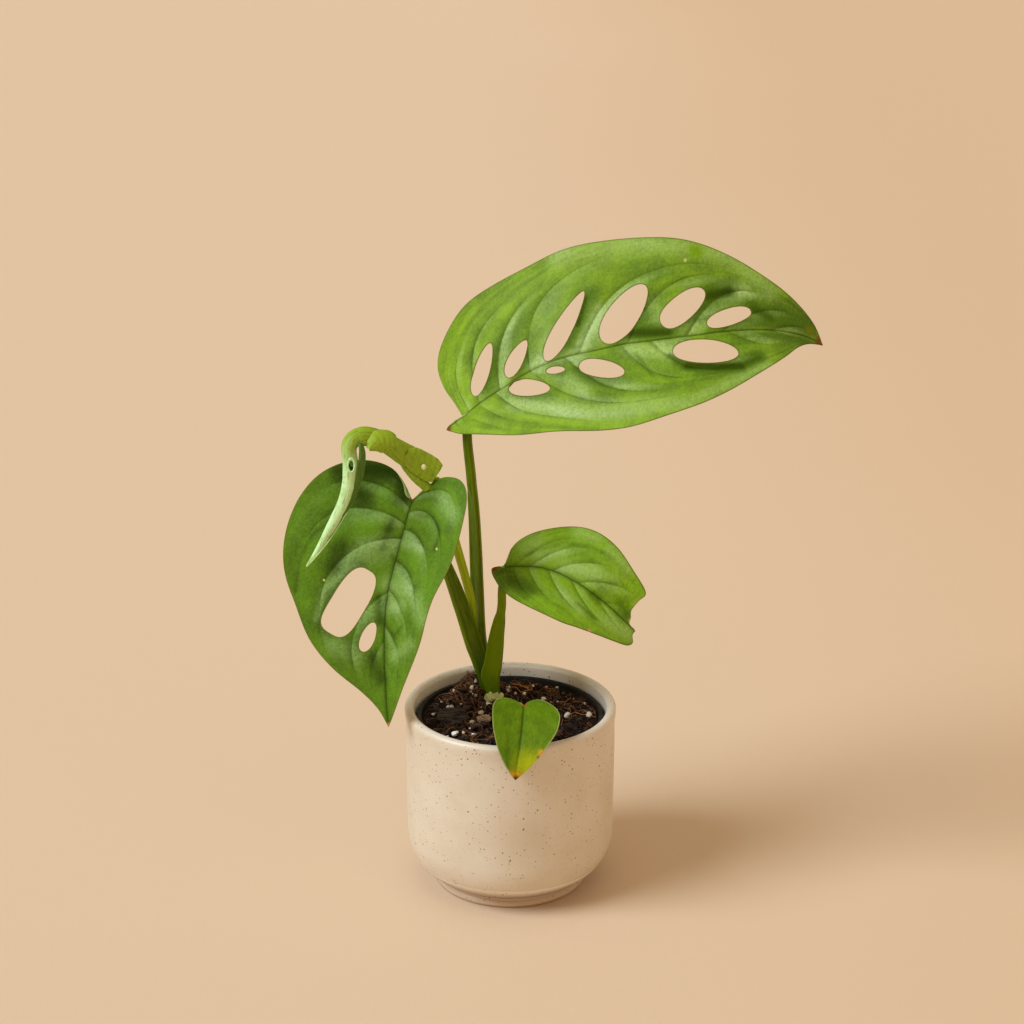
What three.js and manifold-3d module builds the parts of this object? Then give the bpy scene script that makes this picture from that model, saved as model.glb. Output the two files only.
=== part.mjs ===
// Potted monstera obliqua: a young plant with four open leaves and one rolled leaf, rooted in a
// plastic grower's pot that stands inside a speckled stoneware pot.
// Millimetres, +Z up, origin at the centre of the stoneware pot's flat base, front towards -Y.
import * as THREE from 'three';
import { mergeVertices } from 'three/addons/utils/BufferGeometryUtils.js';
import Module from 'manifold-3d';

const wasm = await Module();
wasm.setup();

// Clearance left between two pieces that touch
const GAP = 0.3;

// Stoneware pot: an upright wall that rounds in through a quarter ellipse to a low foot
const POT = {
  radius: 47.5,
  height: 85,
  wall: 4.3,
  lip: 2.1,
  floor: 7.5,
  shoulderRadius: 46.7,
  cornerWidth: 19,
  cornerHeight: 21.4,
  cornerSweep: 70.6,
  cornerBottom: 3.45,
  grooveRadius: 33.4,
  grooveHeight: 3.5,
  footRadius: 34.6,
  footHeight: 3.1,
  footRound: 0.9,
  innerCorner: 14,
  innerTaper: 0.5,
  sides: 48,
};

// Grower's pot: thin plastic, tapered, with a rolled rim and holes in its bottom
const LINER = {
  topRadius: 41,
  bottomRadius: 30.5,
  wall: 1.2,
  floor: 1.6,
  rimRadius: 42,
  rimHeight: 2.6,
  rimEdge: 0.5,
  bottomEdge: 1.5,
  top: 80,
  sides: 40,
  holes: 6,
  holeRadius: 3,
  holeCircle: 20,
};

// Potting mix: fills the grower's pot and is heaped round the stem.
// Each mound is [x, y, height, width]
const MIX = {
  level: 78.7,
  mounds: [[-8, 17, 2, 12], [-16, 28, 6.6, 8]],
  edgeSlump: 0.6,
  roughness: 0.26,
  ripples: 14,
  rippleLength: [5, 14],
  rings: 11,
  sides: 44,
  grains: 18,
  grainRadius: [0.8, 1.35],
  grainClearance: 10,
};

// Short creeping stem under the surface, and the roots that hang from it
const STEM = {
  path: [[-6.2, 4.6, 69.4], [-7.4, 14.4, 72.4], [-9.6, 21.5, 73.4], [-11.6, 28, 73], [-12.4, 33, 70.5]],
  radii: [[0, 2.6], [0.12, 4.6], [0.25, 4.1], [0.45, 5], [0.6, 4.2], [0.8, 4.8], [1, 2.8]],
  sides: 9,
  steps: 8,
};
const ROOTS = {
  count: 5,
  radii: [[0, 1.5], [1, 0.8]],
  spread: 15,
  backward: 8,
  sway: 3,
  depth: [31, 44],
  sides: 5,
  steps: 4,
};

// A blade is drawn flat, seen from above with its tip up, from the point where the petiole joins
// it. Then it is bent along its length, folded along its midrib and set in its place.
//   base      the point where the petiole joins the blade
//   heading   the way the midrib points half way along
//   facing    the way the upper face looks
//   rise      degrees that the midrib climbs above its heading at the base
//   droop     further degrees that it turns down towards the tip, as the power droopPower
//   fold      how steeply both halves stand up from the midrib, and over what width they start to
//   rib       how far the midrib stands out below
//   pleats    ridges between the side veins, and their height
//   wave      height, length and phase of the margin's wave
//   midrib, left, right   points of the flat outline, the last one shared at the tip
//   holes     [x, y, length, width, degrees from the midrib, taper, roundness], 1 for an oval
const LARGE_LEAF = {
  base: [-20.5, 12, 215.7],
  heading: [0.966, -0.1, 0.238],
  facing: [-0.235, -0.728, 0.644],
  length: 172,
  rise: 24,
  droop: 34,
  droopPower: 4,
  fold: 0.16,
  foldSoftness: 8,
  thickness: 0.9,
  rib: 1,
  pleats: 9,
  pleatHeight: 0.75,
  wave: [1.1, 47, 0.6],
  rows: 28,
  columns: [0.04, 0.24, 0.5, 0.76, 1],
  midrib: [
    [0, 0], [-3.2, 11], [-5.6, 21], [-10.2, 44], [-10, 75], [-8.8, 107], [-10, 140], [-9.4, 158],
    [-7, 170],
  ],
  left: [
    [0, 0], [-8.3, -3.6], [-17, -7.6], [-27, -8.7], [-36, -4], [-46, 9], [-51.7, 24.5], [-55.5, 41],
    [-57.5, 62], [-57.4, 82], [-54.5, 99], [-49.5, 116], [-42.5, 130.8], [-33.5, 144], [-24.3, 156.5],
    [-17, 165], [-12, 168.4], [-7, 170],
  ],
  right: [
    [0, 0], [1.4, -4.4], [2.6, -9.3], [5.2, -6], [8.6, 0], [14.3, 14.5], [20, 30], [24.8, 47],
    [29, 65], [30.5, 82], [27.2, 101], [20, 119], [11.5, 134.5], [3.5, 146.5], [-2.6, 154.6],
    [-5.8, 161.5], [-7, 170],
  ],
  holes: [
    [-17.2, 14, 23.7, 8.6, -58, 0.25, 1],
    [-16.7, 30.9, 17.8, 7.6, -50, 0.3, 1],
    [-24.4, 55, 33.6, 8.6, -49.5, 0.4, 1],
    [-23.6, 81.2, 30, 13.6, -46.5, 0.15, 0.95],
    [-21.9, 106.1, 23.4, 11, -36, 0.15, 0.9],
    [-15.9, 125.1, 20.6, 7.5, -17, 0.05, 0.9],
    [-1.3, 34.9, 20.8, 8.2, 23, 0.1, 0.95],
    [-5.8, 47.9, 8.8, 3.6, 13, 0, 1],
    [-0.6, 68.2, 21.2, 8.4, 27.5, 0.05, 0.9],
    [-0.4, 112.7, 27.4, 11.8, 9, 0.05, 0.95],
  ],
};
const LEFT_LEAF = {
  base: [-42.4, 2, 180.9],
  heading: [-0.113, -0.252, -0.961],
  facing: [-0.426, -0.862, 0.276],
  length: 102,
  rise: 8,
  droop: 6,
  droopPower: 3,
  fold: 0.34,
  foldSoftness: 6,
  thickness: 0.9,
  rib: 0.9,
  pleats: 6,
  pleatHeight: 0.8,
  wave: [1, 41, 2],
  rows: 22,
  columns: [0.05, 0.27, 0.52, 0.77, 1],
  midrib: [[0, 0], [0.8, 4], [2.8, 20], [5.3, 40], [5.5, 54], [4.4, 68], [2.2, 89], [1, 102]],
  left: [
    [0, 0], [-5, -4.5], [-9.5, -9.5], [-16, -12], [-23.5, -11.5], [-28.5, -7], [-30.5, 1],
    [-29.6, 12], [-26, 26], [-20.5, 40], [-16, 57], [-10, 74], [-4, 89.5], [1, 102],
  ],
  right: [
    [0, 0], [3.6, -1.5], [6, -6.8], [11, -12], [19, -14], [28, -12.8], [36.5, -8.3], [43.7, -1],
    [49.6, 9.5], [51.8, 22], [50.2, 39], [44.8, 52.5], [37, 66], [26, 77.8], [14, 87], [6, 94.5],
    [1, 102],
  ],
  holes: [
    [21.6, 48, 32.6, 14.4, 25, -0.12, 0.75],
    [12.1, 62.4, 13.8, 5.8, 16.5, -0.1, 1],
  ],
};
const RIGHT_LEAF = {
  base: [-3.2, 4, 148.8],
  heading: [0.864, -0.202, -0.462],
  facing: [0.167, -0.75, 0.639],
  length: 84,
  rise: 26,
  droop: 12,
  droopPower: 3,
  fold: 0.36,
  foldSoftness: 4,
  thickness: 0.8,
  rib: 0.8,
  pleats: 6,
  pleatHeight: 0.5,
  wave: [0.5, 31, 1],
  rows: 24,
  columns: [0.06, 0.27, 0.5, 0.75, 1],
  midrib: [[0, 0], [-4.2, 9], [-7.3, 19], [-7.8, 33], [-6.3, 48], [-4.4, 60], [-3.5, 66.4]],
  left: [
    [0, 0], [-4, 0.8], [-10, 0.4], [-16.5, 4.5], [-23, 12], [-28.6, 21], [-30.6, 30], [-29, 40],
    [-24.6, 50.5], [-19.6, 60.4], [-15, 60.2], [-10, 59.8], [-7, 61.6], [-4.6, 62.4], [-3.5, 66.4],
  ],
  right: [
    [0, 0], [1.2, -1.8], [2.6, -4], [5.2, -2.4], [8.6, 1.8], [12, 7], [14.5, 14.5], [15.5, 24],
    [14.8, 35], [12.4, 43], [10.2, 51], [8, 58.5], [5.2, 65.4], [2, 67.6], [-1, 66], [-3.5, 66.4],
  ],
  holes: [],
};
const SMALL_LEAF = {
  base: [6, -31.6, 97.8],
  heading: [-0.1, -0.68, -0.72],
  facing: [0.05, -0.72, 0.69],
  length: 35,
  rise: 27,
  droop: 4,
  droopPower: 2,
  fold: 0.16,
  foldSoftness: 3,
  thickness: 0.7,
  rib: 0.5,
  pleats: 4,
  pleatHeight: 0.2,
  wave: [0.3, 17, 0],
  rows: 16,
  columns: [0.1, 0.4, 0.7, 1],
  midrib: [[0, 0], [-0.2, 12], [0, 23], [0.3, 35]],
  left: [
    [0, 0], [-1.7, -2.8], [-6, -4.3], [-10.2, -2.6], [-14, 1.2], [-15.9, 6], [-15.2, 12.5],
    [-12, 18.8], [-7.6, 25.7], [-3.2, 31.2], [0.3, 35],
  ],
  right: [
    [0, 0], [3, -1.9], [7, -2.8], [11, -1.5], [13.3, 2.6], [13.2, 9], [11.8, 16], [9.2, 23],
    [5.6, 29], [2.4, 33], [0.3, 35],
  ],
  holes: [],
};

// A petiole: its route from the stem up to the blade, the way its open side faces, and
// [share of its length, width, depth, groove] along it. It ends under the blade's base.
const PETIOLES = {
  large_leaf: {
    leaf: LARGE_LEAF,
    route: [
      [-11, 27.6, 72], [-12.4, 27.8, 92], [-14.3, 27, 108], [-15.2, 26, 134], [-16, 22.8, 163],
      [-17.2, 19, 185], [-18.8, 14.8, 207],
    ],
    tuck: 3,
    drop: 2.8,
    opens: [-0.85, -0.5, 0],
    profile: [
      [0, 8, 6, 2.2], [0.12, 8.6, 6, 2.6], [0.5, 8.6, 5.2, 2.4], [0.7, 6.6, 4.6, 1.6],
      [0.76, 4.7, 4.4, 0], [1, 4.1, 4.1, 0],
    ],
  },
  left_leaf: {
    leaf: LEFT_LEAF,
    route: [
      [-9.4, 21.4, 72], [-12.2, 21.9, 87], [-14.6, 21.8, 98], [-18, 20.5, 110], [-22.4, 17.6, 126],
      [-28.4, 13.8, 145], [-35, 10.5, 162], [-40.6, 8.4, 175],
    ],
    tuck: 2,
    drop: 1.3,
    opens: [0.6, -0.7, 0.3],
    profile: [
      [0, 5.6, 5, 1.2], [0.14, 7.2, 5.4, 1.8], [0.26, 9, 5, 2.4], [0.5, 8, 4.6, 2.2],
      [0.68, 5.6, 4.2, 1.4], [0.74, 4.4, 4, 0], [1, 3.6, 3.6, 0],
    ],
  },
  new_leaf: {
    leaf: null,
    route: [
      [-13.4, 25.4, 96], [-15.8, 24, 111], [-17.7, 22.5, 125.6], [-19.9, 21, 136], [-22.9, 18, 149.1],
      [-27.2, 13.2, 167.6], [-30, 9.6, 178.4], [-32.6, 5.3, 189.8],
    ],
    opens: [-0.7, -0.7, 0],
    profile: [[0, 2.8, 2.4, 0], [0.35, 4.6, 3.6, 0.3], [0.7, 4.8, 3.8, 0.3], [1, 3.8, 3.6, 0]],
  },
  right_leaf: {
    leaf: RIGHT_LEAF,
    route: [
      [-7.4, 14.8, 71.5], [-7.4, 16.2, 80], [-8.5, 16.8, 86.5], [-9, 16.5, 91.5], [-7.8, 15.6, 97],
      [-6, 14, 112], [-3.9, 11, 126.4], [-3.4, 8.6, 138],
    ],
    tuck: 3,
    drop: 1.8,
    opens: [-0.3, -0.95, 0],
    profile: [
      [0, 4.6, 4, 0], [0.12, 6, 4.6, 0.6], [0.24, 9, 5, 1.8], [0.45, 7.8, 4.4, 1.8],
      [0.62, 5.6, 4, 1.2], [0.68, 4, 3.8, 0], [1, 3.4, 3.4, 0],
    ],
  },
  small_leaf: {
    leaf: SMALL_LEAF,
    route: [
      [-6, 7.4, 71], [-5.4, 6.6, 77.2], [-3.2, 2, 80.9], [0, -8, 85.7], [3.6, -20, 91.4],
      [5.4, -27.4, 94.6],
    ],
    tuck: 2,
    drop: 1.7,
    opens: [0, 0, 1],
    profile: [[0, 4, 3.4, 0.4], [0.3, 3.4, 3, 0.4], [0.5, 2.6, 2.4, 0], [1, 2, 2, 0]],
  },
};

// New leaf: rolled up along its length, bent over at its top, hanging down to a fine tip.
// Each stop is [share of its length, width, depth, degrees that the roll's edge has turned]
const NEW_LEAF = {
  route: [
    [-33, 4.8, 191], [-38.3, 2.5, 196.2], [-44.3, 0, 201.4], [-49.8, -3, 206], [-56, -6, 210.6],
    [-62, -8.5, 213.2], [-66.8, -10, 212.2], [-68.6, -11, 208.6], [-68.2, -11.7, 202],
    [-69, -12.4, 193.3], [-71.2, -13, 185.6], [-75, -13.6, 178], [-78.8, -14.2, 171.1],
    [-83, -14.8, 164], [-88.2, -15.4, 156.6],
  ],
  opens: [0.4, -0.9, 0.2],
  stops: [
    [0, 7, 3, 200], [0.03, 10.2, 3.6, 205], [0.09, 11.8, 4.6, 215], [0.17, 10, 5.6, 235],
    [0.22, 9, 6.2, 245], [0.33, 9, 6.8, 265], [0.4, 9, 7.4, 280], [0.47, 8, 7.2, 300],
    [0.58, 7.6, 6.8, 330], [0.7, 6.6, 6.2, 360], [0.8, 5.6, 5.2, 390], [0.9, 3.9, 3.6, 420],
    [0.97, 1.8, 1.8, 435], [1, 0.8, 0.8, 440],
  ],
  step: 0.28,
  sides: 13,
  steps: 30,
};

// Withered scale leaf that clasps the foot of the right leaf's petiole
const DRY_SHEATH = {
  radius: 4.7,
  from: 214,
  to: 340,
  foot: 77.6,
  heights: [2.4, 4.6, 5.8, 6.4, 5.4, 6.2, 5, 5.6, 3.6, 2.2],
  flare: 0.3,
  thickness: 0.8,
};

// Chips of bark and wood pressed into the surface of the mix: flat outline, place, turn, thickness
const DARK_CHIP = {
  outline: [[-7, -2.6], [-3.6, -6], [2.6, -6.4], [6.6, -3], [6, 3], [1.2, 6.2], [-5.4, 4.6]],
  at: [-25.6, -4, 78.6],
  turn: 8,
  tilt: 9,
  thickness: 2.2,
};
const PALE_CHIP = {
  outline: [[-3, -1.4], [-0.6, -2.6], [2.6, -1.8], [3.2, 1], [0.8, 2.4], [-2.6, 1.8]],
  at: [-11.8, -6.4, 78.9],
  turn: 28,
  tilt: 12,
  thickness: 1.6,
};
const CHIP_BEVEL = 0.3;

const glazed = new THREE.MeshStandardMaterial({ color: 0xd9c8ab, roughness: 0.45, metalness: 0 });
const plastic = new THREE.MeshStandardMaterial({ color: 0x1f2723, roughness: 0.5, metalness: 0 });
const mixColour = new THREE.MeshStandardMaterial({ color: 0x2e1c12, roughness: 0.95, metalness: 0 });
const rootColour = new THREE.MeshStandardMaterial({ color: 0x9c8458, roughness: 0.8, metalness: 0 });
const stalkGreen = new THREE.MeshStandardMaterial({ color: 0x4f6b16, roughness: 0.5, metalness: 0 });
const leafGreen = new THREE.MeshStandardMaterial({ color: 0x4d8a22, roughness: 0.4, metalness: 0 });
const deepGreen = new THREE.MeshStandardMaterial({ color: 0x35701c, roughness: 0.4, metalness: 0 });
const newGreen = new THREE.MeshStandardMaterial({ color: 0xa9bf5e, roughness: 0.45, metalness: 0 });
const dryCream = new THREE.MeshStandardMaterial({ color: 0xb9ad62, roughness: 0.8, metalness: 0 });
const darkBark = new THREE.MeshStandardMaterial({ color: 0x241c18, roughness: 0.9, metalness: 0 });
const paleWood = new THREE.MeshStandardMaterial({ color: 0xa58a68, roughness: 0.85, metalness: 0 });

const degrees = THREE.MathUtils.degToRad;
const vector = ([x, y, z]) => new THREE.Vector3(x, y, z);

// Seeded random numbers from 0 to 1, the same on every run
function randomFrom(seed) {
  let state = seed;
  return () => {
    state = (state * 16807) % 2147483647;
    return state / 2147483647;
  };
}

// Reads a list of [share, a, b, c...] stops at a share between them
function between(stops, share) {
  const last = stops.length - 1;
  let k = 0;
  while (k < last - 1 && share > stops[k + 1][0]) k += 1;
  const [start, end] = [stops[k], stops[k + 1]];
  const t = Math.min(Math.max((share - start[0]) / (end[0] - start[0]), 0), 1);
  return start.slice(1).map((value, n) => value + (end[n + 1] - value) * t);
}

// A closed mesh as a solid that can be joined and cut
function solid(geometry) {
  const bare = new THREE.BufferGeometry();
  bare.setAttribute('position', geometry.getAttribute('position'));
  if (geometry.index) bare.setIndex(geometry.index);
  const merged = mergeVertices(bare, 1e-4);
  return new wasm.Manifold(new wasm.Mesh({
    numProp: 3,
    vertProperties: merged.attributes.position.array,
    triVerts: new Uint32Array(merged.index.array),
  }));
}

function geometryOf(made) {
  const mesh = made.getMesh();
  const geometry = new THREE.BufferGeometry();
  geometry.setAttribute('position', new THREE.Float32BufferAttribute(mesh.vertProperties, 3));
  geometry.setIndex(Array.from(mesh.triVerts));
  return geometry;
}

function cut(geometry, tools) {
  return geometryOf(tools.reduce((body, tool) => body.subtract(solid(tool)), solid(geometry)));
}

function join(geometry, others) {
  return geometryOf(others.reduce((body, other) => body.add(solid(other)), solid(geometry)));
}

// Closed skin through rings of points, each ring with the same count, with a fan at either end
function loft(rings) {
  const count = rings[0].length;
  const points = rings.flat();
  const faces = [];
  for (let k = 0; k < rings.length - 1; k += 1) {
    for (let n = 0; n < count; n += 1) {
      const next = (n + 1) % count;
      const [a, b] = [k * count + n, k * count + next];
      const [c, d] = [(k + 1) * count + n, (k + 1) * count + next];
      faces.push([a, b, d], [a, d, c]);
    }
  }
  const middle = (ring) => ring.reduce((sum, p) => sum.add(p), new THREE.Vector3()).divideScalar(count);
  const startCentre = points.push(middle(rings[0])) - 1;
  const endCentre = points.push(middle(rings[rings.length - 1])) - 1;
  const lastRing = (rings.length - 1) * count;
  for (let n = 0; n < count; n += 1) {
    const next = (n + 1) % count;
    faces.push([startCentre, next, n], [endCentre, lastRing + n, lastRing + next]);
  }
  return skin(points, faces);
}

// Indexed geometry from points and faces, turned so that its faces point out
function skin(points, faces) {
  const volume = faces.reduce((sum, [a, b, c]) => {
    const side = new THREE.Vector3().crossVectors(points[b], points[c]);
    return sum + points[a].dot(side);
  }, 0);
  const outward = volume < 0 ? faces.map(([a, b, c]) => [a, c, b]) : faces;
  const geometry = new THREE.BufferGeometry().setFromPoints(points);
  geometry.setIndex(outward.flat());
  return geometry;
}

// Sweeps sections along a route. sectionAt(share) gives points [side, front] in the plane across it,
// and both ends reach beyond the route by grow
function sweep(route, opens, steps, grow, sectionAt) {
  const path = new THREE.CatmullRomCurve3(route.map(vector), false, 'catmullrom', 0.5);
  const rings = [];
  for (let k = 0; k <= steps; k += 1) {
    const share = k / steps;
    const along = path.getTangentAt(share);
    const beyond = { 0: -grow, [steps]: grow }[k] ?? 0;
    const centre = path.getPointAt(share).addScaledVector(along, beyond);
    const front = vector(opens).addScaledVector(along, -along.dot(vector(opens))).normalize();
    const side = new THREE.Vector3().crossVectors(front, along);
    rings.push(sectionAt(share).map(([a, b]) => (
      centre.clone().addScaledVector(side, a).addScaledVector(front, b)
    )));
  }
  return loft(rings);
}

// Round section
function roundSection(radius, sides) {
  return Array.from({ length: sides }, (_, n) => {
    const angle = (2 * Math.PI * n) / sides;
    return [radius * Math.cos(angle), radius * Math.sin(angle)];
  });
}

// Section of a sheathed stalk: an oval with a groove down its open side
function grooveSection(width, depth, groove, grow, sides) {
  return Array.from({ length: sides }, (_, n) => {
    const angle = (2 * Math.PI * (n + 0.5)) / sides;
    const a = (width / 2 + grow) * Math.cos(angle);
    const b = (depth / 2 + grow) * Math.sin(angle);
    const reach = 1 - (Math.abs(Math.cos(angle))) ** 2;
    return [a, Math.sin(angle) > 0 ? b - groove * reach : b];
  });
}

// Section of a rolled blade: an oval that grows round its edge, which leaves one step where it laps
function rollSection(width, depth, step, turn, sides) {
  return Array.from({ length: sides }, (_, n) => {
    const angle = (2 * Math.PI * n) / sides;
    const grown = 1 - step / 2 + (step * n) / (sides - 1);
    const at = angle + degrees(turn);
    return [(width / 2) * grown * Math.cos(at), (depth / 2) * grown * Math.sin(at)];
  });
}

// Frame of a blade: the midrib's heading, its right side and its upper face
function leafFrame(leaf) {
  const heading = vector(leaf.heading).normalize();
  const up = vector(leaf.facing);
  const facing = up.addScaledVector(heading, -heading.dot(up)).normalize();
  const right = new THREE.Vector3().crossVectors(heading, facing);
  return { heading, facing, right };
}

// Angle of the midrib above its heading, y along the flat blade
function slope(leaf, y) {
  const u = Math.max(y / leaf.length, 0);
  return degrees(leaf.rise * (1 - 2 * u) - leaf.droop * u ** leaf.droopPower);
}

// Where the midrib's own line lies in its plane of bending, y along the flat blade
function spine(leaf, y) {
  const steps = 40;
  let [forward, up] = [0, 0];
  for (let k = 0; k < steps; k += 1) {
    const angle = slope(leaf, (y * (k + 0.5)) / steps);
    forward += (Math.cos(angle) * y) / steps;
    up += (Math.sin(angle) * y) / steps;
  }
  return [forward, up];
}

function outline(points) {
  return new THREE.SplineCurve(points.map(([x, y]) => new THREE.Vector2(x, y)));
}

// The midrib's sideways place at y on the flat blade
function midribAt(leaf, y) {
  const points = leaf.midrib;
  return between(points.map(([x, along]) => [along, x]), y)[0];
}

// A point of the flat blade brought to its place, raised by lift from the folded surface
function bend(leaf, x, y, lift) {
  const { heading, facing, right } = leafFrame(leaf);
  const [forward, up] = spine(leaf, y);
  const angle = slope(leaf, y);
  const off = x - midribAt(leaf, y);
  const height = lift + leaf.fold * (Math.hypot(off, leaf.foldSoftness) - leaf.foldSoftness);
  return vector(leaf.base)
    .addScaledVector(heading, forward - Math.sin(angle) * height)
    .addScaledVector(right, x)
    .addScaledVector(facing, up + Math.cos(angle) * height);
}

// Power that crowds the side veins' starts towards the blade's base
const VEIN_CROWDING = 1.6;
// Power that does the same along the margin, so that a lobe keeps its shape
const MARGIN_CROWDING = 1.15;
// How far a side vein bows back towards the base, as a share of its length
const VEIN_BOW = 0.26;
// Distance from the base over which the midrib's relief starts and grows to its full height
const RIB_START = [5, 13];

// Closed blade: a grid that follows the side veins, alike on both faces, thicker under the midrib
function bladeGeometry(leaf) {
  const midrib = outline(leaf.midrib);
  const margins = { '-1': outline(leaf.left), '1': outline(leaf.right) };
  const half = leaf.columns.length;
  const width = 2 * half + 1;
  const index = (row, column) => {
    if (row === 0) return 0;
    if (row === leaf.rows) return 1;
    return 2 + (row - 1) * width + column + half;
  };
  const middle = [];
  const ribs = [];
  const [waveHeight, waveLength, wavePhase] = leaf.wave;
  for (let row = 0; row <= leaf.rows; row += 1) {
    const t = row / leaf.rows;
    const start = midrib.getPointAt(t ** VEIN_CROWDING);
    for (let column = -half; column <= half; column += 1) {
      const side = Math.sign(column);
      const s = side === 0 ? 0 : leaf.columns[Math.abs(column) - 1];
      const end = side === 0 ? start : margins[side].getPointAt(t ** MARGIN_CROWDING);
      const x = start.x + (end.x - start.x) * s;
      const y = start.y + (end.y - start.y) * s - VEIN_BOW * start.distanceTo(end) * s * (1 - s);
      const ridge = Math.cos(2 * Math.PI * leaf.pleats * t) * Math.sin(Math.PI * s) ** 0.7;
      const wave = waveHeight * s ** 2 * Math.sin((2 * Math.PI * y) / waveLength + wavePhase + side);
      const flat = Math.sin(Math.PI * t) ** 0.5;
      middle[index(row, column)] = bend(leaf, x, y, flat * (wave - leaf.pleatHeight * ridge));
      const grown = THREE.MathUtils.smoothstep(y, ...RIB_START);
      ribs[index(row, column)] = column === 0 ? leaf.rib * grown * (1 - 0.7 * t) : 0;
    }
  }
  const upper = [];
  for (let row = 0; row < leaf.rows; row += 1) {
    for (let column = -half; column < half; column += 1) {
      const [a, b] = [index(row, column), index(row, column + 1)];
      const [c, d] = [index(row + 1, column), index(row + 1, column + 1)];
      const pair = column < 0 ? [[a, b, c], [b, d, c]] : [[a, b, d], [a, d, c]];
      upper.push(...pair.filter(([p, q, r]) => p !== q && q !== r && r !== p));
    }
  }
  const sheet = new THREE.BufferGeometry().setFromPoints(middle);
  sheet.setIndex(upper.flat());
  sheet.computeVertexNormals();
  const normals = sheet.getAttribute('normal');
  const count = middle.length;
  const points = middle.map((p, n) => {
    const normal = new THREE.Vector3().fromBufferAttribute(normals, n);
    return p.clone().addScaledVector(normal, leaf.thickness / 2);
  });
  middle.forEach((p, n) => {
    const normal = new THREE.Vector3().fromBufferAttribute(normals, n);
    points.push(p.clone().addScaledVector(normal, -leaf.thickness / 2 - ribs[n]));
  });
  const faces = [...upper, ...upper.map(([a, b, c]) => [a + count, c + count, b + count])];
  for (let row = 0; row < leaf.rows; row += 1) {
    const [b, d] = [index(row, half), index(row + 1, half)];
    const [a, c] = [index(row, -half), index(row + 1, -half)];
    faces.push([d, b, b + count], [d, b + count, d + count]);
    faces.push([a, c, c + count], [a, c + count, a + count]);
  }
  return skin(points, faces);
}

// Plug that cuts one hole through a blade, wider at its end by the midrib
function holePlug(leaf, [x, y, length, width, turn, taper, roundness]) {
  const sides = 14;
  const depth = 4;
  const [sine, cosine] = [Math.sin(degrees(turn)), Math.cos(degrees(turn))];
  const ring = (lift) => Array.from({ length: sides }, (_, n) => {
    const angle = (2 * Math.PI * n) / sides;
    const [c, s] = [Math.cos(angle), Math.sin(angle)];
    const u = (length / 2) * Math.sign(c) * Math.abs(c) ** roundness;
    const v = (width / 2) * Math.sign(s) * Math.abs(s) ** roundness * (1 - taper * c);
    return bend(leaf, x + u * sine + v * cosine, y + u * cosine - v * sine, lift);
  });
  return loft([ring(-depth), ring(depth)]);
}

function leafSolid(leaf) {
  const blade = bladeGeometry(leaf);
  return leaf.holes.length ? cut(blade, leaf.holes.map((hole) => holePlug(leaf, hole))) : blade;
}

// Last point of a petiole: under the blade's base, a little way along its midrib
function petioleEnd({ leaf, tuck, drop }) {
  const { heading, facing } = leafFrame(leaf);
  const angle = slope(leaf, 0);
  const along = tuck * Math.cos(angle) + drop * Math.sin(angle);
  const below = tuck * Math.sin(angle) - drop * Math.cos(angle);
  return vector(leaf.base).addScaledVector(heading, along).addScaledVector(facing, below).toArray();
}

const STALK_STEPS = 15;
const STALK_SIDES = 10;

function petioleGeometry(stalk, grow = 0) {
  const route = stalk.leaf ? [...stalk.route, petioleEnd(stalk)] : stalk.route;
  return sweep(route, stalk.opens, STALK_STEPS, grow, (share) => {
    const [width, depth, groove] = between(stalk.profile, share);
    return grooveSection(width, depth, groove, grow, STALK_SIDES);
  });
}

function newLeafGeometry() {
  return sweep(NEW_LEAF.route, NEW_LEAF.opens, NEW_LEAF.steps, 0, (share) => {
    const [width, depth, turn] = between(NEW_LEAF.stops, share);
    return rollSection(width, depth, NEW_LEAF.step, turn, NEW_LEAF.sides);
  });
}

// Turned body from [radius, height] points that run outside first, from the axis and back to it
function turned(profile, sides) {
  return new THREE.LatheGeometry(profile.map(([x, z]) => new THREE.Vector2(x, z)), sides)
    .rotateX(Math.PI / 2);
}

// Points of an upright elliptic arc, from one angle to another in degrees
function arc(centre, across, up, from, to, steps) {
  return Array.from({ length: steps + 1 }, (_, n) => {
    const angle = degrees(from + ((to - from) * n) / steps);
    return [centre[0] + across * Math.cos(angle), centre[1] + up * Math.sin(angle)];
  });
}

function potGeometry() {
  const { radius, height, wall, lip, floor, innerCorner, footRadius, footHeight, footRound } = POT;
  const shoulder = [POT.shoulderRadius - POT.cornerWidth, POT.cornerBottom + POT.cornerHeight];
  const lipCentre = [radius - wall / 2, height - lip];
  const innerCentre = [radius - wall - innerCorner - POT.innerTaper, floor + innerCorner];
  const profile = [
    [0, 0],
    [footRadius - footRound, 0],
    [footRadius, footRound],
    [footRadius, footHeight - footRound],
    [POT.grooveRadius, POT.grooveHeight],
    ...arc(shoulder, POT.cornerWidth, POT.cornerHeight, -POT.cornerSweep, 0, 6),
    ...arc(lipCentre, wall / 2, lip, 0, 180, 4),
    ...arc(innerCentre, innerCorner, innerCorner, 0, -90, 3),
    [0, floor],
  ];
  return turned(profile, POT.sides);
}

const linerBottom = POT.floor + GAP;

// Radius of the grower's pot's outside at a height
function linerRadius(z) {
  const share = (z - linerBottom) / (LINER.top - linerBottom);
  return LINER.bottomRadius + (LINER.topRadius - LINER.bottomRadius) * share;
}

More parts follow.
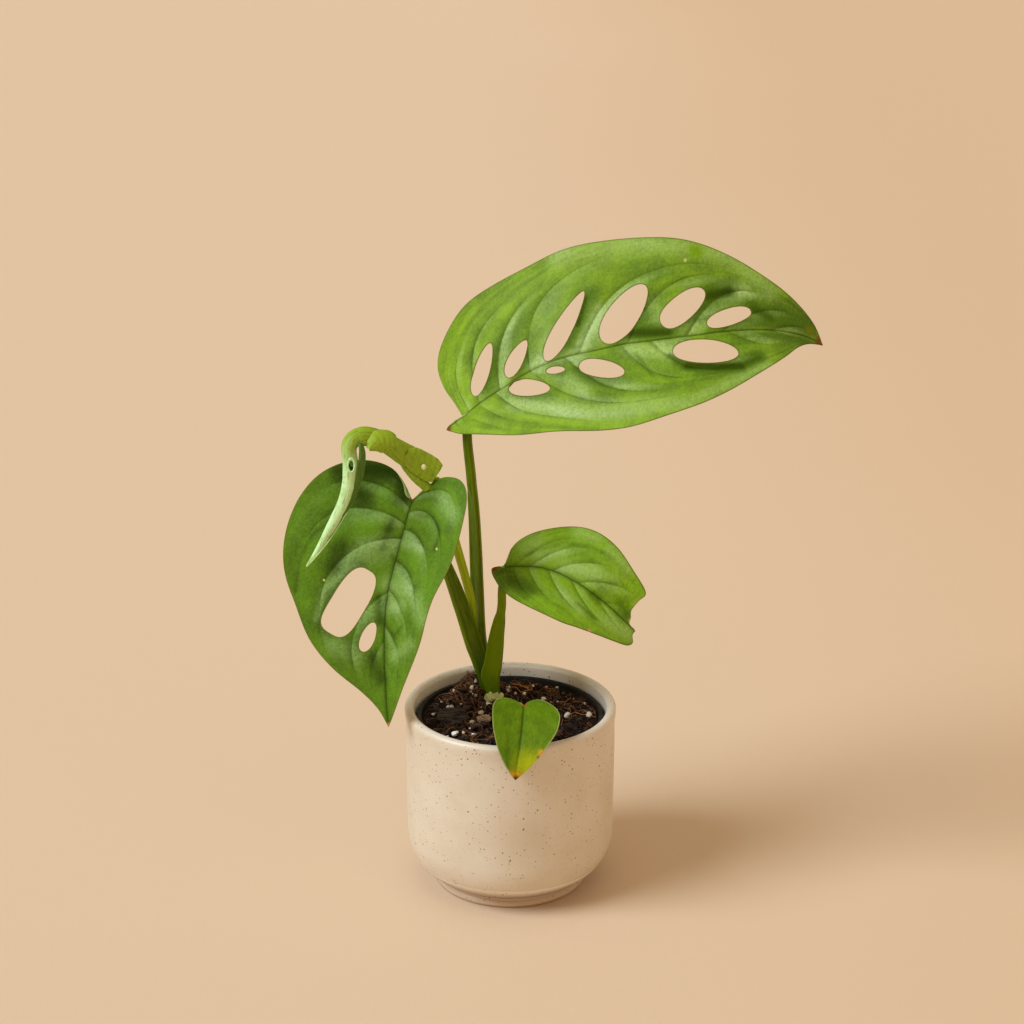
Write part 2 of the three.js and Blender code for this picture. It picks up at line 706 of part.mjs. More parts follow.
function linerGeometry() {
  const { wall, floor, rimRadius, rimHeight, rimEdge, bottomEdge, top, holeRadius } = LINER;
  const profile = [
    [0, linerBottom],
    [linerRadius(linerBottom) - bottomEdge, linerBottom],
    [linerRadius(linerBottom + bottomEdge), linerBottom + bottomEdge],
    [linerRadius(top - rimHeight), top - rimHeight],
    [rimRadius, top - rimHeight + rimEdge],
    [rimRadius, top - rimEdge],
    [rimRadius - rimEdge, top],
    [linerRadius(top) - wall, top],
    [linerRadius(linerBottom + floor) - wall, linerBottom + floor],
    [0, linerBottom + floor],
  ];
  const drains = Array.from({ length: LINER.holes }, (_, k) => {
    const angle = (2 * Math.PI * k) / LINER.holes;
    const drain = new THREE.CylinderGeometry(holeRadius, holeRadius, 4 * floor, 10);
    const [x, y] = [LINER.holeCircle * Math.cos(angle), LINER.holeCircle * Math.sin(angle)];
    return drain.rotateX(Math.PI / 2).translate(x, y, linerBottom);
  });
  return cut(turned(profile, LINER.sides), drains);
}

const mixBottom = linerBottom + LINER.floor + GAP;

// Where the stem lies and the petioles stand in the mix
const PLANTED = [...STEM.path, ...Object.values(PETIOLES).map((stalk) => stalk.route[0])];

// Ripples of the mix's surface: [turns per mm along x, along y, phase]
const ripples = (() => {
  const random = randomFrom(41);
  const [least, most] = MIX.rippleLength;
  return Array.from({ length: MIX.ripples }, () => {
    const [angle, length] = [2 * Math.PI * random(), least + (most - least) * random()];
    return [Math.cos(angle) / length, Math.sin(angle) / length, 2 * Math.PI * random()];
  });
})();

function mixHeight(x, y) {
  const share = Math.hypot(x, y) / linerRadius(MIX.level);
  const heaped = MIX.mounds.reduce((sum, [mx, my, height, width]) => (
    sum + height * Math.exp(-((x - mx) ** 2 + (y - my) ** 2) / width ** 2)
  ), 0);
  const rough = ripples.reduce((sum, [a, b, phase]) => (
    sum + Math.sin(2 * Math.PI * (a * x + b * y) + phase)
  ), 0);
  return MIX.level + heaped - MIX.edgeSlump * share ** 4 + MIX.roughness * rough;
}

// The mix as a grid of rings over a tapered block, with perlite grains standing out of its top
function mixGeometry() {
  const { rings, sides } = MIX;
  const points = [new THREE.Vector3(0, 0, mixHeight(0, 0))];
  const faces = [];
  const rim = linerRadius(MIX.level) - LINER.wall - GAP;
  const place = (ring, side) => (ring === 0 ? 0 : 1 + (ring - 1) * sides + (side % sides));
  for (let ring = 1; ring <= rings; ring += 1) {
    for (let side = 0; side < sides; side += 1) {
      const angle = (2 * Math.PI * (side + (ring % 2) / 2)) / sides;
      const reach = (rim * ring) / rings;
      const [x, y] = [reach * Math.cos(angle), reach * Math.sin(angle)];
      points.push(new THREE.Vector3(x, y, ring === rings ? MIX.level - MIX.edgeSlump : mixHeight(x, y)));
    }
  }
  for (let ring = 0; ring < rings; ring += 1) {
    for (let side = 0; side < sides; side += 1) {
      const [a, b] = [place(ring, side), place(ring, side + 1)];
      const [c, d] = [place(ring + 1, side), place(ring + 1, side + 1)];
      const pair = ring % 2 === 0 ? [[a, c, d], [a, d, b]] : [[a, c, b], [b, c, d]];
      faces.push(...pair.filter(([p, q, r]) => p !== q && q !== r && r !== p));
    }
  }
  const foot = points.length;
  const footRadius = linerRadius(mixBottom) - LINER.wall - GAP;
  for (let side = 0; side < sides; side += 1) {
    const angle = (2 * Math.PI * (side + (rings % 2) / 2)) / sides;
    points.push(new THREE.Vector3(footRadius * Math.cos(angle), footRadius * Math.sin(angle), mixBottom));
  }
  const centre = points.push(new THREE.Vector3(0, 0, mixBottom)) - 1;
  for (let side = 0; side < sides; side += 1) {
    const [a, b] = [place(rings, side), place(rings, side + 1)];
    const [c, d] = [foot + side, foot + ((side + 1) % sides)];
    faces.push([a, c, d], [a, d, b], [c, centre, d]);
  }
  return join(skin(points, faces), perliteGrains(points.slice(1, foot - sides)));
}

// Perlite grains sunk into the mix at points of its surface, clear of the plant and the chips
function perliteGrains(surface) {
  const random = randomFrom(97);
  const [least, most] = MIX.grainRadius;
  const kept = [...PLANTED, DARK_CHIP.at, PALE_CHIP.at];
  const free = surface.filter((p) => (
    kept.every(([x, y]) => Math.hypot(p.x - x, p.y - y) > MIX.grainClearance)
  ));
  return Array.from({ length: MIX.grains }, () => {
    const place = free[Math.floor(free.length * random())];
    const radius = least + (most - least) * random();
    const grain = new THREE.IcosahedronGeometry(radius, 0).rotateZ(2 * Math.PI * random());
    return grain.translate(place.x, place.y, place.z + radius * 0.2);
  });
}

function stemGeometry(grow = 0) {
  const body = sweep(STEM.path, [0, 0, 1], STEM.steps, grow, (share) => (
    roundSection(between(STEM.radii, share)[0] + grow, STEM.sides)
  ));
  const line = new THREE.CatmullRomCurve3(STEM.path.map(vector));
  const random = randomFrom(7);
  const roots = Array.from({ length: ROOTS.count }, (_, n) => {
    const start = line.getPointAt((n + 0.7) / (ROOTS.count + 0.4));
    const angle = (2 * Math.PI * (n + random() / 2)) / ROOTS.count;
    const depth = ROOTS.depth[0] + (ROOTS.depth[1] - ROOTS.depth[0]) * random();
    const route = [0, 0.3, 0.65, 1].map((share) => {
      const sway = ROOTS.sway * Math.sin(5 * share + 6 * random());
      const out = ROOTS.spread * Math.sin((Math.PI / 2) * share) + sway;
      const x = start.x * (1 - share) + out * Math.cos(angle);
      const y = start.y * (1 - share) + out * Math.sin(angle) + ROOTS.backward * share;
      return [x, y, start.z - depth * share];
    });
    return sweep(route, [1, 0.2, 0], ROOTS.steps, grow, (share) => (
      roundSection(between(ROOTS.radii, share)[0] + grow, ROOTS.sides)
    ));
  });
  return join(body, roots);
}

// Withered scale leaf: a short curved strip with a ragged top, flared out round the petiole's foot.
// The hollow that it stands in goes straight up to its full height
function drySheathGeometry(grow = 0) {
  const { radius, from, to, foot, heights, flare, thickness } = DRY_SHEATH;
  const [cx, cy] = PETIOLES.right_leaf.route[1];
  const last = heights.length - 1;
  const rings = heights.map((height, k) => {
    const angle = degrees(from + ((to - from) * k) / last) + (grow / radius) * ((2 * k) / last - 1);
    const tall = grow > 0 ? Math.max(...heights) : height;
    const lean = flare * tall;
    const ring = [
      [-grow, -grow],
      [thickness + grow, -grow],
      [thickness + lean + grow, tall + grow],
      [lean - grow, tall + grow],
    ];
    return ring.map(([out, up]) => new THREE.Vector3(
      cx + (radius + out) * Math.cos(angle),
      cy + (radius + out) * Math.sin(angle),
      foot + up,
    ));
  });
  return loft(rings);
}

// Flat chip with a broken outline, grown all round for the hollow that it lies in
function chipGeometry(chip, grow = 0) {
  const bevel = CHIP_BEVEL;
  const scale = 1 + grow / 3;
  const shape = new THREE.Shape(chip.outline.map(([x, y]) => new THREE.Vector2(x * scale, y * scale)));
  const body = new THREE.ExtrudeGeometry(shape, {
    depth: chip.thickness + 2 * (grow - bevel),
    bevelEnabled: true,
    bevelThickness: bevel,
    bevelSize: bevel,
    bevelSegments: 1,
    curveSegments: 1,
  });
  body.translate(0, 0, bevel - grow - chip.thickness / 2);
  return body.rotateX(degrees(chip.tilt)).rotateZ(degrees(chip.turn)).translate(...chip.at);
}

function named(name, geometry, material) {
  const mesh = new THREE.Mesh(geometry, material);
  mesh.name = name;
  return mesh;
}

const group = new THREE.Group();
const add = (name, geometry, material) => group.add(named(name, geometry, material));

add('pot', potGeometry(), glazed);
add('grower_pot', linerGeometry(), plastic);

const hollows = [
  stemGeometry(GAP),
  ...Object.values(PETIOLES).map((stalk) => petioleGeometry(stalk, GAP)),
  chipGeometry(DARK_CHIP, GAP),
  chipGeometry(PALE_CHIP, GAP),
  drySheathGeometry(GAP),
];
add('potting_mix', cut(mixGeometry(), hollows), mixColour);
add('stem_and_roots', stemGeometry(), rootColour);
add('dark_chip', chipGeometry(DARK_CHIP), darkBark);
add('pale_chip', chipGeometry(PALE_CHIP), paleWood);

// Petioles nest at the foot: each is cut clear of the stem and of those in front of it
const grownStem = stemGeometry(GAP);
const stackOrder = ['right_leaf', 'left_leaf', 'new_leaf', 'large_leaf', 'small_leaf'];
stackOrder.forEach((name, place) => {
  const tools = stackOrder.slice(0, place).map((before) => petioleGeometry(PETIOLES[before], GAP));
  add(`${name}_petiole`, cut(petioleGeometry(PETIOLES[name]), [grownStem, ...tools]), stalkGreen);
});

add('large_leaf_blade', leafSolid(LARGE_LEAF), leafGreen);
add('left_leaf_blade', leafSolid(LEFT_LEAF), deepGreen);
add('right_leaf_blade', leafSolid(RIGHT_LEAF), leafGreen);
add('small_leaf_blade', leafSolid(SMALL_LEAF), leafGreen);
add('new_leaf_blade', newLeafGeometry(), newGreen);
add('dry_sheath', drySheathGeometry(), dryCream);

export default group;
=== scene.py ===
"""Potted monstera obliqua: the visual model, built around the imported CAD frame."""

import logging
import math
from collections.abc import Iterator, Sequence
from contextlib import contextmanager
from dataclasses import dataclass
from enum import Enum
from typing import Any

import bpy
import numpy as np
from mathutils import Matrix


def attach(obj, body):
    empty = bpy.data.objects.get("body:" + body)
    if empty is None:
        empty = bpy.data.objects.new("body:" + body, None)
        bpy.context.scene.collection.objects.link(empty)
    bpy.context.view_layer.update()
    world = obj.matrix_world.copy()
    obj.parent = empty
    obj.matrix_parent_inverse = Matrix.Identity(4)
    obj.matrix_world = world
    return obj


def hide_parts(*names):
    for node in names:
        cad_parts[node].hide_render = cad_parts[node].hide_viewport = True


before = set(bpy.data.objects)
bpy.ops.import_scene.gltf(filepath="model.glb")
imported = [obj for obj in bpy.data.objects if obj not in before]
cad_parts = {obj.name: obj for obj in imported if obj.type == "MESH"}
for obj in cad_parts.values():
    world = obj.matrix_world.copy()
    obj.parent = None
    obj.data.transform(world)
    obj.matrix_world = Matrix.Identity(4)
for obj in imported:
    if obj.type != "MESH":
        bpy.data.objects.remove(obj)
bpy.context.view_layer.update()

LOG = logging.getLogger("monstera")

Colour = tuple[float, float, float, float]
Pair = tuple[float, float]
Point = tuple[float, float, float]

MM = 0.001
SPLINE_SAMPLES = 1600
GLANCE = 0.002  # the share of a route over which its direction is taken
BODY = "root"


class Slot(str, Enum):
    """The record's material slots."""

    STONEWARE = "stoneware"
    LINER = "liner_plastic"
    MIX = "potting_mix"
    PETIOLE = "petiole"
    MATURE = "mature_leaf"
    NEW = "new_leaf"
    SCALE = "dry_scale"
    BARK = "bark_chip"
    WOOD = "wood_chip"


class Side(Enum):
    """The two halves of a blade, seen from above with its tip ahead."""

    LEFT = -1
    RIGHT = 1


def tone(red: float, green: float, blue: float) -> Colour:
    """Turns a display colour into the linear one that a shader takes.

    Args:
        red: red from 0 to 255.
        green: green from 0 to 255.
        blue: blue from 0 to 255.

    Returns:
        The linear colour, with full alpha.
    """
    parts = (part / 255 for part in (red, green, blue))
    linear = (part / 12.92 if part < 0.04045 else ((part + 0.055) / 1.055) ** 2.4 for part in parts)
    return (*linear, 1.0)


def ease(value: np.ndarray, low: float, high: float) -> np.ndarray:
    """Rises smoothly from 0 at low to 1 at high.

    Args:
        value: where to look.
        low: the value that gives 0.
        high: the value that gives 1.

    Returns:
        The eased share.
    """
    share = np.clip((value - low) / (high - low), 0, 1)
    return share * share * (3 - 2 * share)


def bump(value: np.ndarray, width: float) -> np.ndarray:
    """Gives 1 where the value is 0, and falls off over a width on both sides."""
    return np.exp(-((value / width) ** 2))


def power(value: np.ndarray, exponent: float) -> np.ndarray:
    """Raises the size of a value to a power and keeps its sign."""
    return np.sign(value) * np.abs(value) ** exponent


def rotated(x: np.ndarray, y: np.ndarray, degrees: float) -> tuple[np.ndarray, np.ndarray]:
    """Turns places round the origin, from x towards y."""
    cosine, sine = math.cos(math.radians(degrees)), math.sin(math.radians(degrees))
    return x * cosine - y * sine, x * sine + y * cosine


def between(stops: Sequence[Sequence[float]], share: np.ndarray) -> list[np.ndarray]:
    """Reads a table between its rows.

    Args:
        stops: rows of a share and the values there.
        share: where it is read.

    Returns:
        The values, one array for each column.
    """
    places, *columns = np.array(stops, float).T
    return [np.interp(share, places, column) for column in columns]


def unit(vector: Sequence[float]) -> np.ndarray:
    """Gives a direction of length 1."""
    array = np.array(vector, float)
    return array / np.linalg.norm(array)


@dataclass(frozen=True)
class Spline:
    """A smooth curve through control points, measured along its own length.

    Attributes:
        points: the control points, in mm.
        runs_on: whether the ends run straight on past the last points.
    """

    points: tuple[tuple[float, ...], ...]
    runs_on: bool = False

    def at(self, share: np.ndarray) -> np.ndarray:
        """Finds points on the curve.

        Args:
            share: shares of the curve's length, from 0 to 1.

        Returns:
            One point for each share, on a last axis.
        """
        knots = np.array(self.points, float)
        first, last = knots[0], knots[-1]
        if self.runs_on:
            first, last = 2 * knots[0] - knots[1], 2 * knots[-1] - knots[-2]
        padded = np.vstack([first, knots, last])
        place = np.linspace(0, len(knots) - 1, SPLINE_SAMPLES)
        index = np.minimum(place.astype(int), len(knots) - 2)
        step = (place - index)[:, None]
        before, start, end, after = (padded[index + k] for k in range(4))
        leave, arrive = (end - before) / 2, (after - start) / 2
        cubic = 2 * start - 2 * end + leave + arrive
        square = 3 * end - 3 * start - 2 * leave - arrive
        dense = ((cubic * step + square) * step + leave) * step + start
        gone = np.r_[0, np.cumsum(np.linalg.norm(np.diff(dense, axis=0), axis=1))]
        return np.stack([np.interp(share * gone[-1], gone, axis) for axis in dense.T], -1)


class Signal:
    """A number that changes over a surface: a shader socket that Python sums work on."""

    def __init__(self, shader: "Shader", socket: bpy.types.NodeSocket) -> None:
        """Keeps the socket and the shader that it belongs to."""
        self.shader = shader
        self.socket = socket

    def math(self, operation: str, *values: Any) -> "Signal":
        """Adds one Math node.

        Args:
            operation: the node's operation.
            *values: its inputs, as numbers or signals.

        Returns:
            The node's result.
        """
        node = self.shader.node("Math", {"operation": operation}, dict(enumerate(values)))
        return Signal(self.shader, node.outputs[0])

    def __add__(self, other: Any) -> "Signal":
        """Adds."""
        return self.math("ADD", self, other)

    def __sub__(self, other: Any) -> "Signal":
        """Takes other away."""
        return self.math("SUBTRACT", self, other)

    def __rsub__(self, other: Any) -> "Signal":
        """Is taken away from other."""
        return self.math("SUBTRACT", other, self)

    def __mul__(self, other: Any) -> "Signal":
        """Multiplies."""
        return self.math("MULTIPLY", self, other)

    def __abs__(self) -> "Signal":
        """Drops the sign."""
        return self.math("ABSOLUTE", self)

    __radd__ = __add__
    __rmul__ = __mul__

    def fraction(self) -> "Signal":
        """Drops the whole part."""
        return self.math("FRACT", self)

    def least(self, other: Any) -> "Signal":
        """Keeps the smaller of two."""
        return self.math("MINIMUM", self, other)

    def most(self, other: Any) -> "Signal":
        """Keeps the larger of two."""
        return self.math("MAXIMUM", self, other)

    def from_whole(self) -> "Signal":
        """Measures how far the number is from the nearest whole one."""
        return abs((self + 0.5).fraction() - 0.5)

    def ease(self, low: float, high: float) -> "Signal":
        """Rises smoothly from 0 at low to 1 at high.

        Args:
            low: the value that gives 0.
            high: the value that gives 1.

        Returns:
            The eased share.
        """
        if low > high:
            return 1 - self.ease(high, low)
        ends = {"Value": self, "From Min": low, "From Max": high}
        node = self.shader.node("MapRange", {"interpolation_type": "SMOOTHSTEP"}, ends)
        return Signal(self.shader, node.outputs[0])


class Shader:
    """A material in the making. Its nodes all come from one method."""

    def __init__(self, name: str) -> None:
        """Starts a material with one Principled surface.

        Args:
            name: the material's name.
        """
        self.material = bpy.data.materials.new(name)
        self.material.use_nodes = True
        self.tree = self.material.node_tree
        self.surface = self.tree.nodes["Principled BSDF"]

    def node(
        self,
        kind: str,
        settings: dict[str, Any] | None = None,
        inputs: dict[str | int, Any] | None = None,
    ) -> bpy.types.Node:
        """Adds one node.

        Args:
            kind: the node's type, without its prefix.
            settings: what is set on the node first.
            inputs: a value, signal or socket for each input named.

        Returns:
            The node.
        """
        made = self.tree.nodes.new("ShaderNode" + kind)
        for key, value in (settings or {}).items():
            setattr(made, key, value)
        for key, value in (inputs or {}).items():
            self.feed(made.inputs[key], value)
        return made

    def feed(self, socket: bpy.types.NodeSocket, value: Any) -> None:
        """Links or sets one input.

        Args:
            socket: the input.
            value: a signal, a socket or a constant.
        """
        source = value.socket if isinstance(value, Signal) else value
        if isinstance(source, bpy.types.NodeSocket):
            self.tree.links.new(source, socket)
        else:
            socket.default_value = source

    def place(self) -> bpy.types.NodeSocket:
        """Gives the point's place on the object, in metres."""
        return self.node("TexCoord").outputs["Object"]

    def number(self, name: str) -> Signal:
        """Reads a number kept on the mesh."""
        return Signal(self, self.node("Attribute", {"attribute_name": name}).outputs["Fac"])

    def vector(self, name: str) -> bpy.types.NodeSocket:
        """Reads a vector kept on the mesh."""
        return self.node("Attribute", {"attribute_name": name}).outputs["Vector"]

    def axes(self, vector: bpy.types.NodeSocket) -> tuple[Signal, Signal, Signal]:
        """Splits a vector into its three numbers."""
        node = self.node("SeparateXYZ", None, {0: vector})
        return tuple(Signal(self, output) for output in node.outputs)

    def join(self, x: Any, y: Any, z: Any) -> bpy.types.NodeSocket:
        """Makes a vector of three numbers."""
        return self.node("CombineXYZ", None, {0: x, 1: y, 2: z}).outputs[0]

    def mapped(self, vector: Any, scale: Point, turn: float = 0) -> bpy.types.NodeSocket:
        """Stretches coordinates and turns them round the third axis, in degrees."""
        inputs = {"Vector": vector, "Rotation": (0, 0, math.radians(turn)), "Scale": scale}
        return self.node("Mapping", None, inputs).outputs[0]

    def noise(self, vector: Any, scale: float, detail: float = 2, warp: float = 0) -> Signal:
        """Adds a soft random pattern.

        Args:
            vector: the coordinates that it reads.
            scale: how many features fit in a unit.
            detail: its octaves.
            warp: its distortion.

        Returns:
            A number around 0.5.
        """
        inputs = {"Vector": vector, "Scale": scale, "Detail": detail, "Distortion": warp}
        return Signal(self, self.node("TexNoise", None, inputs).outputs[0])

    def cells(self, vector: Any, scale: float, edges: bool = False) -> tuple[Signal, Signal]:
        """Adds a pattern of random cells.

        Args:
            vector: the coordinates that it reads.
            scale: how many cells fit in a unit.
            edges: whether the distance is to the cells' edges, and not their middles.

        Returns:
            The distance, in cells, and a random number for each cell.
        """
        feature = "DISTANCE_TO_EDGE" if edges else "F1"
        inputs = {"Vector": vector, "Scale": scale}
        node = self.node("TexVoronoi", {"feature": feature}, inputs)
        chance = node.outputs[0] if edges else node.outputs["Color"]
        return Signal(self, node.outputs[0]), self.axes(chance)[0]

    def mix(self, share: Any, first: Any, second: Any) -> bpy.types.NodeSocket:
        """Mixes two colours.

        Args:
            share: how much of the second shows.
            first: a colour or socket.
            second: a colour or socket.

        Returns:
            The mixed colour.
        """
        inputs = {0: share, 6: first, 7: second}
        return self.node("Mix", {"data_type": "RGBA"}, inputs).outputs[2]

    def far(self, vector: Any, point: Point) -> Signal:
        """Measures the distance from a fixed point."""
        node = self.node("VectorMath", {"operation": "DISTANCE"}, {0: vector, 1: point})
        return Signal(self, node.outputs["Value"])

    def relief(self, height: Signal) -> None:
        """Raises the surface by a pattern, whose height is in mm."""
        normal = self.node("Bump", None, {"Height": height, "Distance": MM}).outputs[0]
        self.feed(self.surface.inputs["Normal"], normal)

    def dress(self, colour: Any, rough: Any, **constants: float) -> bpy.types.Material:
        """Sets the surface's colour and gloss.

        Args:
            colour: the base colour.
            rough: the roughness.
            **constants: other inputs, with _ for each space.

        Returns:
            The finished material.
        """
        self.feed(self.surface.inputs["Base Color"], colour)
        self.feed(self.surface.inputs["Roughness"], rough)
        for name, value in constants.items():
            self.surface.inputs[name.replace("_", " ")].default_value = value
        return self.material


def choose(*pieces: bpy.types.Object) -> None:
    """Selects pieces, and nothing else.

    Args:
        *pieces: the pieces, of which the first becomes the active one.
    """
    bpy.ops.object.select_all(action="DESELECT")
    for piece in pieces:
        piece.select_set(True)
    bpy.context.view_layer.objects.active = pieces[0]


@contextmanager
def editing(piece: bpy.types.Object, chosen: np.ndarray | None = None) -> Iterator[None]:
    """Opens one piece in edit mode.

    Args:
        piece: the piece.
        chosen: which vertices are selected; all of them if not given.

    Yields:
        Nothing; edit mode closes afterwards.
    """
    choose(piece)
    bpy.ops.object.mode_set(mode="EDIT")
    bpy.ops.mesh.select_mode(type="VERT")
    bpy.ops.mesh.select_all(action="DESELECT" if chosen is not None else "SELECT")
    if chosen is not None:
        bpy.ops.object.mode_set(mode="OBJECT")
        piece.data.vertices.foreach_set("select", chosen)
        bpy.ops.object.mode_set(mode="EDIT")
    yield
    bpy.ops.object.mode_set(mode="OBJECT")


def added(name: str, operator: Any, **settings: Any) -> bpy.types.Object:
    """Adds a primitive.

    Args:
        name: the new piece's name.
        operator: the operator that adds it.
        **settings: its settings.

    Returns:
        The piece.
    """
    bpy.ops.object.select_all(action="DESELECT")
    operator(**settings)
    piece = bpy.context.object
    piece.name = piece.data.name = name
    return piece


def corners(piece: bpy.types.Object) -> np.ndarray:
    """Reads a piece's vertices.

    Args:
        piece: the piece.

    Returns:
        Their places, in its own units.
    """
    flat = np.zeros(len(piece.data.vertices) * 3)
    piece.data.vertices.foreach_get("co", flat)
    return flat.reshape(-1, 3)


def quads(piece: bpy.types.Object) -> np.ndarray:
    """Lists the faces of a sheet.

    Args:
        piece: the piece, whose faces all have four corners.

    Returns:
        The numbers of each face's four vertices.
    """
    flat = np.zeros(len(piece.data.polygons) * 4, int)
    piece.data.polygons.foreach_get("vertices", flat)
    return flat.reshape(-1, 4)


def set_corners(piece: bpy.types.Object, points: np.ndarray) -> None:
    """Moves a piece's vertices.

    Args:
        piece: the piece.
        points: their new places, in mm.
    """
    piece.data.vertices.foreach_set("co", (points * MM).ravel())
    piece.data.update()


def keep(piece: bpy.types.Object, name: str, values: np.ndarray) -> None:
    """Keeps numbers or vectors on a piece's vertices, for its material.

    Args:
        piece: the piece.
        name: the attribute's name.
        values: one number or vector for each vertex.
    """
    kind, field = ("FLOAT", "value") if values.ndim == 1 else ("FLOAT_VECTOR", "vector")
    made = piece.data.attributes.new(name, kind, "POINT")
    made.data.foreach_set(field, values.ravel())


def modify(piece: bpy.types.Object, kind: str, **settings: Any) -> None:
    """Adds a modifier and applies it.

    Args:
        piece: the piece.
        kind: the modifier's type.
        **settings: its settings.
    """
    choose(piece)
    modifier = piece.modifiers.new(kind.title(), kind)
    for key, value in settings.items():
        setattr(modifier, key, value)
    bpy.ops.object.modifier_apply(modifier=modifier.name)


def weld(piece: bpy.types.Object, gap: float = 1e-6, outwards: bool = False) -> None:
    """Merges vertices that meet.

    Args:
        piece: the piece.
        gap: how far apart they may be, in metres.
        outwards: whether the faces are then turned outwards.
    """
    with editing(piece):
        bpy.ops.mesh.remove_doubles(threshold=gap)
        bpy.ops.mesh.dissolve_degenerate(threshold=gap)
        if outwards:
            bpy.ops.mesh.select_all(action="SELECT")
            bpy.ops.mesh.normals_make_consistent(inside=False)


def drop_faces(piece: bpy.types.Object, gone: np.ndarray) -> None:
    """Deletes faces.

    Args:
        piece: the piece.
        gone: True for each face that goes.
    """
    with editing(piece, np.zeros(len(piece.data.vertices), bool)):
        bpy.ops.mesh.select_mode(type="FACE")
        bpy.ops.object.mode_set(mode="OBJECT")
        piece.data.polygons.foreach_set("select", gone)
        bpy.ops.object.mode_set(mode="EDIT")
        bpy.ops.mesh.delete(type="FACE")


def smooth(piece: bpy.types.Object, angle: float = 180) -> None:
    """Shades a piece smooth, up to an angle between faces in degrees."""
    choose(piece)
    bpy.ops.object.shade_smooth_by_angle(angle=math.radians(angle))


def wear(piece: bpy.types.Object, *materials: bpy.types.Material) -> None:
    """Gives a piece its materials."""
    for material in materials:
        piece.data.materials.append(material)


def hand_over(piece: bpy.types.Object, slot: Slot, *nodes: str) -> None:
    """Ties a finished piece to the frame and reports it.

    Args:
        piece: the piece.
        slot: the record's slot; not used.
        *nodes: the CAD nodes that it stands for.
    """
    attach(piece, BODY)
    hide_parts(*nodes)
    triangles = sum(len(face.vertices) - 2 for face in piece.data.polygons)
    LOG.info("%s: %d triangles, for %s", piece.name, triangles, ", ".join(nodes) or "detail")


def sheet(name: str, columns: int, rows: int) -> tuple[bpy.types.Object, np.ndarray, np.ndarray]:
    """Adds a square sheet, to be bent.

    Args:
        name: the piece's name.
        columns: how many squares it has across.
        rows: how many squares it has along.

    Returns:
        The piece, and the place of each vertex across and along, from -1 to 1.
    """
    grid = bpy.ops.mesh.primitive_grid_add
    piece = added(name, grid, x_subdivisions=columns, y_subdivisions=rows, size=2)
    across, along, _ = corners(piece).T
    return piece, across, along


def turned(name: str, profile: Sequence[Pair], steps: int) -> bpy.types.Object:
    """Draws a profile point by point and spins it round the upright axis.

    Args:
        name: the piece's name.
        profile: the radius and height of each point, in mm.
        steps: how many steps the spin has.

    Returns:
        The closed piece.
    """
    piece = added(name, bpy.ops.mesh.primitive_plane_add, size=MM)
    with editing(piece, np.arange(4) > 0):
        bpy.ops.mesh.delete(type="VERT")
    set_corners(piece, np.array([[profile[0][0], 0, profile[0][1]]]))
    with editing(piece):
        for (radius, height), (next_radius, next_height) in zip(profile, profile[1:]):
            move = ((next_radius - radius) * MM, 0, (next_height - height) * MM)
            bpy.ops.mesh.extrude_vertices_move(TRANSFORM_OT_translate={"value": move})
        bpy.ops.mesh.select_all(action="SELECT")
        turn = {"angle": math.tau, "axis": (0, 0, 1), "center": (0, 0, 0)}
        bpy.ops.mesh.spin(steps=steps, **turn)
    weld(piece, outwards=True)
    return piece


def arc(centre: Pair, radii: Pair, start: float, end: float, steps: int) -> list[Pair]:
    """Draws a stretch of an ellipse.

    Args:
        centre: its middle.
        radii: its two radii.
        start: the angle that it starts at, in degrees.
        end: the angle that it ends at.
        steps: how many steps it has.

    Returns:
        The points.
    """
    angles = np.radians(np.linspace(start, end, steps + 1))
    across = centre[0] + radii[0] * np.cos(angles)
    return list(zip(across.tolist(), (centre[1] + radii[1] * np.sin(angles)).tolist()))


def swept(
    piece: bpy.types.Object,
    along: np.ndarray,
    route: Spline,
    opens: Sequence[float],
    section: tuple[np.ndarray, np.ndarray],
) -> None:
    """Bends a sheet along a route.

    Args:
        piece: the sheet.
        along: each vertex's share of the route.
        route: the route.
        opens: the side that the section's front turns to.
        section: how far each vertex is to the side and to the front, in mm.
    """
    before, after = np.clip(along - GLANCE, 0, 1), np.clip(along + GLANCE, 0, 1)
    ahead = route.at(after) - route.at(before)
    ahead /= np.linalg.norm(ahead, axis=1, keepdims=True)
    front = np.array(opens, float) - ahead * (ahead @ np.array(opens, float))[:, None]
    front /= np.linalg.norm(front, axis=1, keepdims=True)
    side = np.cross(front, ahead)
    offset = side * section[0][:, None] + front * section[1][:, None]
    set_corners(piece, route.at(along) + offset)


def many(
    name: str,
    template: bpy.types.Object,
    points: np.ndarray,
    tones: np.ndarray,
) -> bpy.types.Object:
    """Makes one piece of many copies of a small one, which it uses up.

    Args:
        name: the new piece's name.
        template: the small piece.
        points: for each copy, the places of all its vertices, in mm.
        tones: a number for each copy, kept as its tone.

    Returns:
        The piece.
    """
    faces = [tuple(face.vertices) for face in template.data.polygons]
    copies, each = points.shape[:2]
    mesh = bpy.data.meshes.new(name)
    all_faces = [tuple(v + k * each for v in face) for k in range(copies) for face in faces]
    mesh.from_pydata((points.reshape(-1, 3) * MM).tolist(), [], all_faces)
    bpy.data.objects.remove(template)
    piece = bpy.data.objects.new(name, mesh)
    bpy.context.scene.collection.objects.link(piece)
    keep(piece, "tone", np.repeat(tones, each))
    smooth(piece, 60)
    return piece


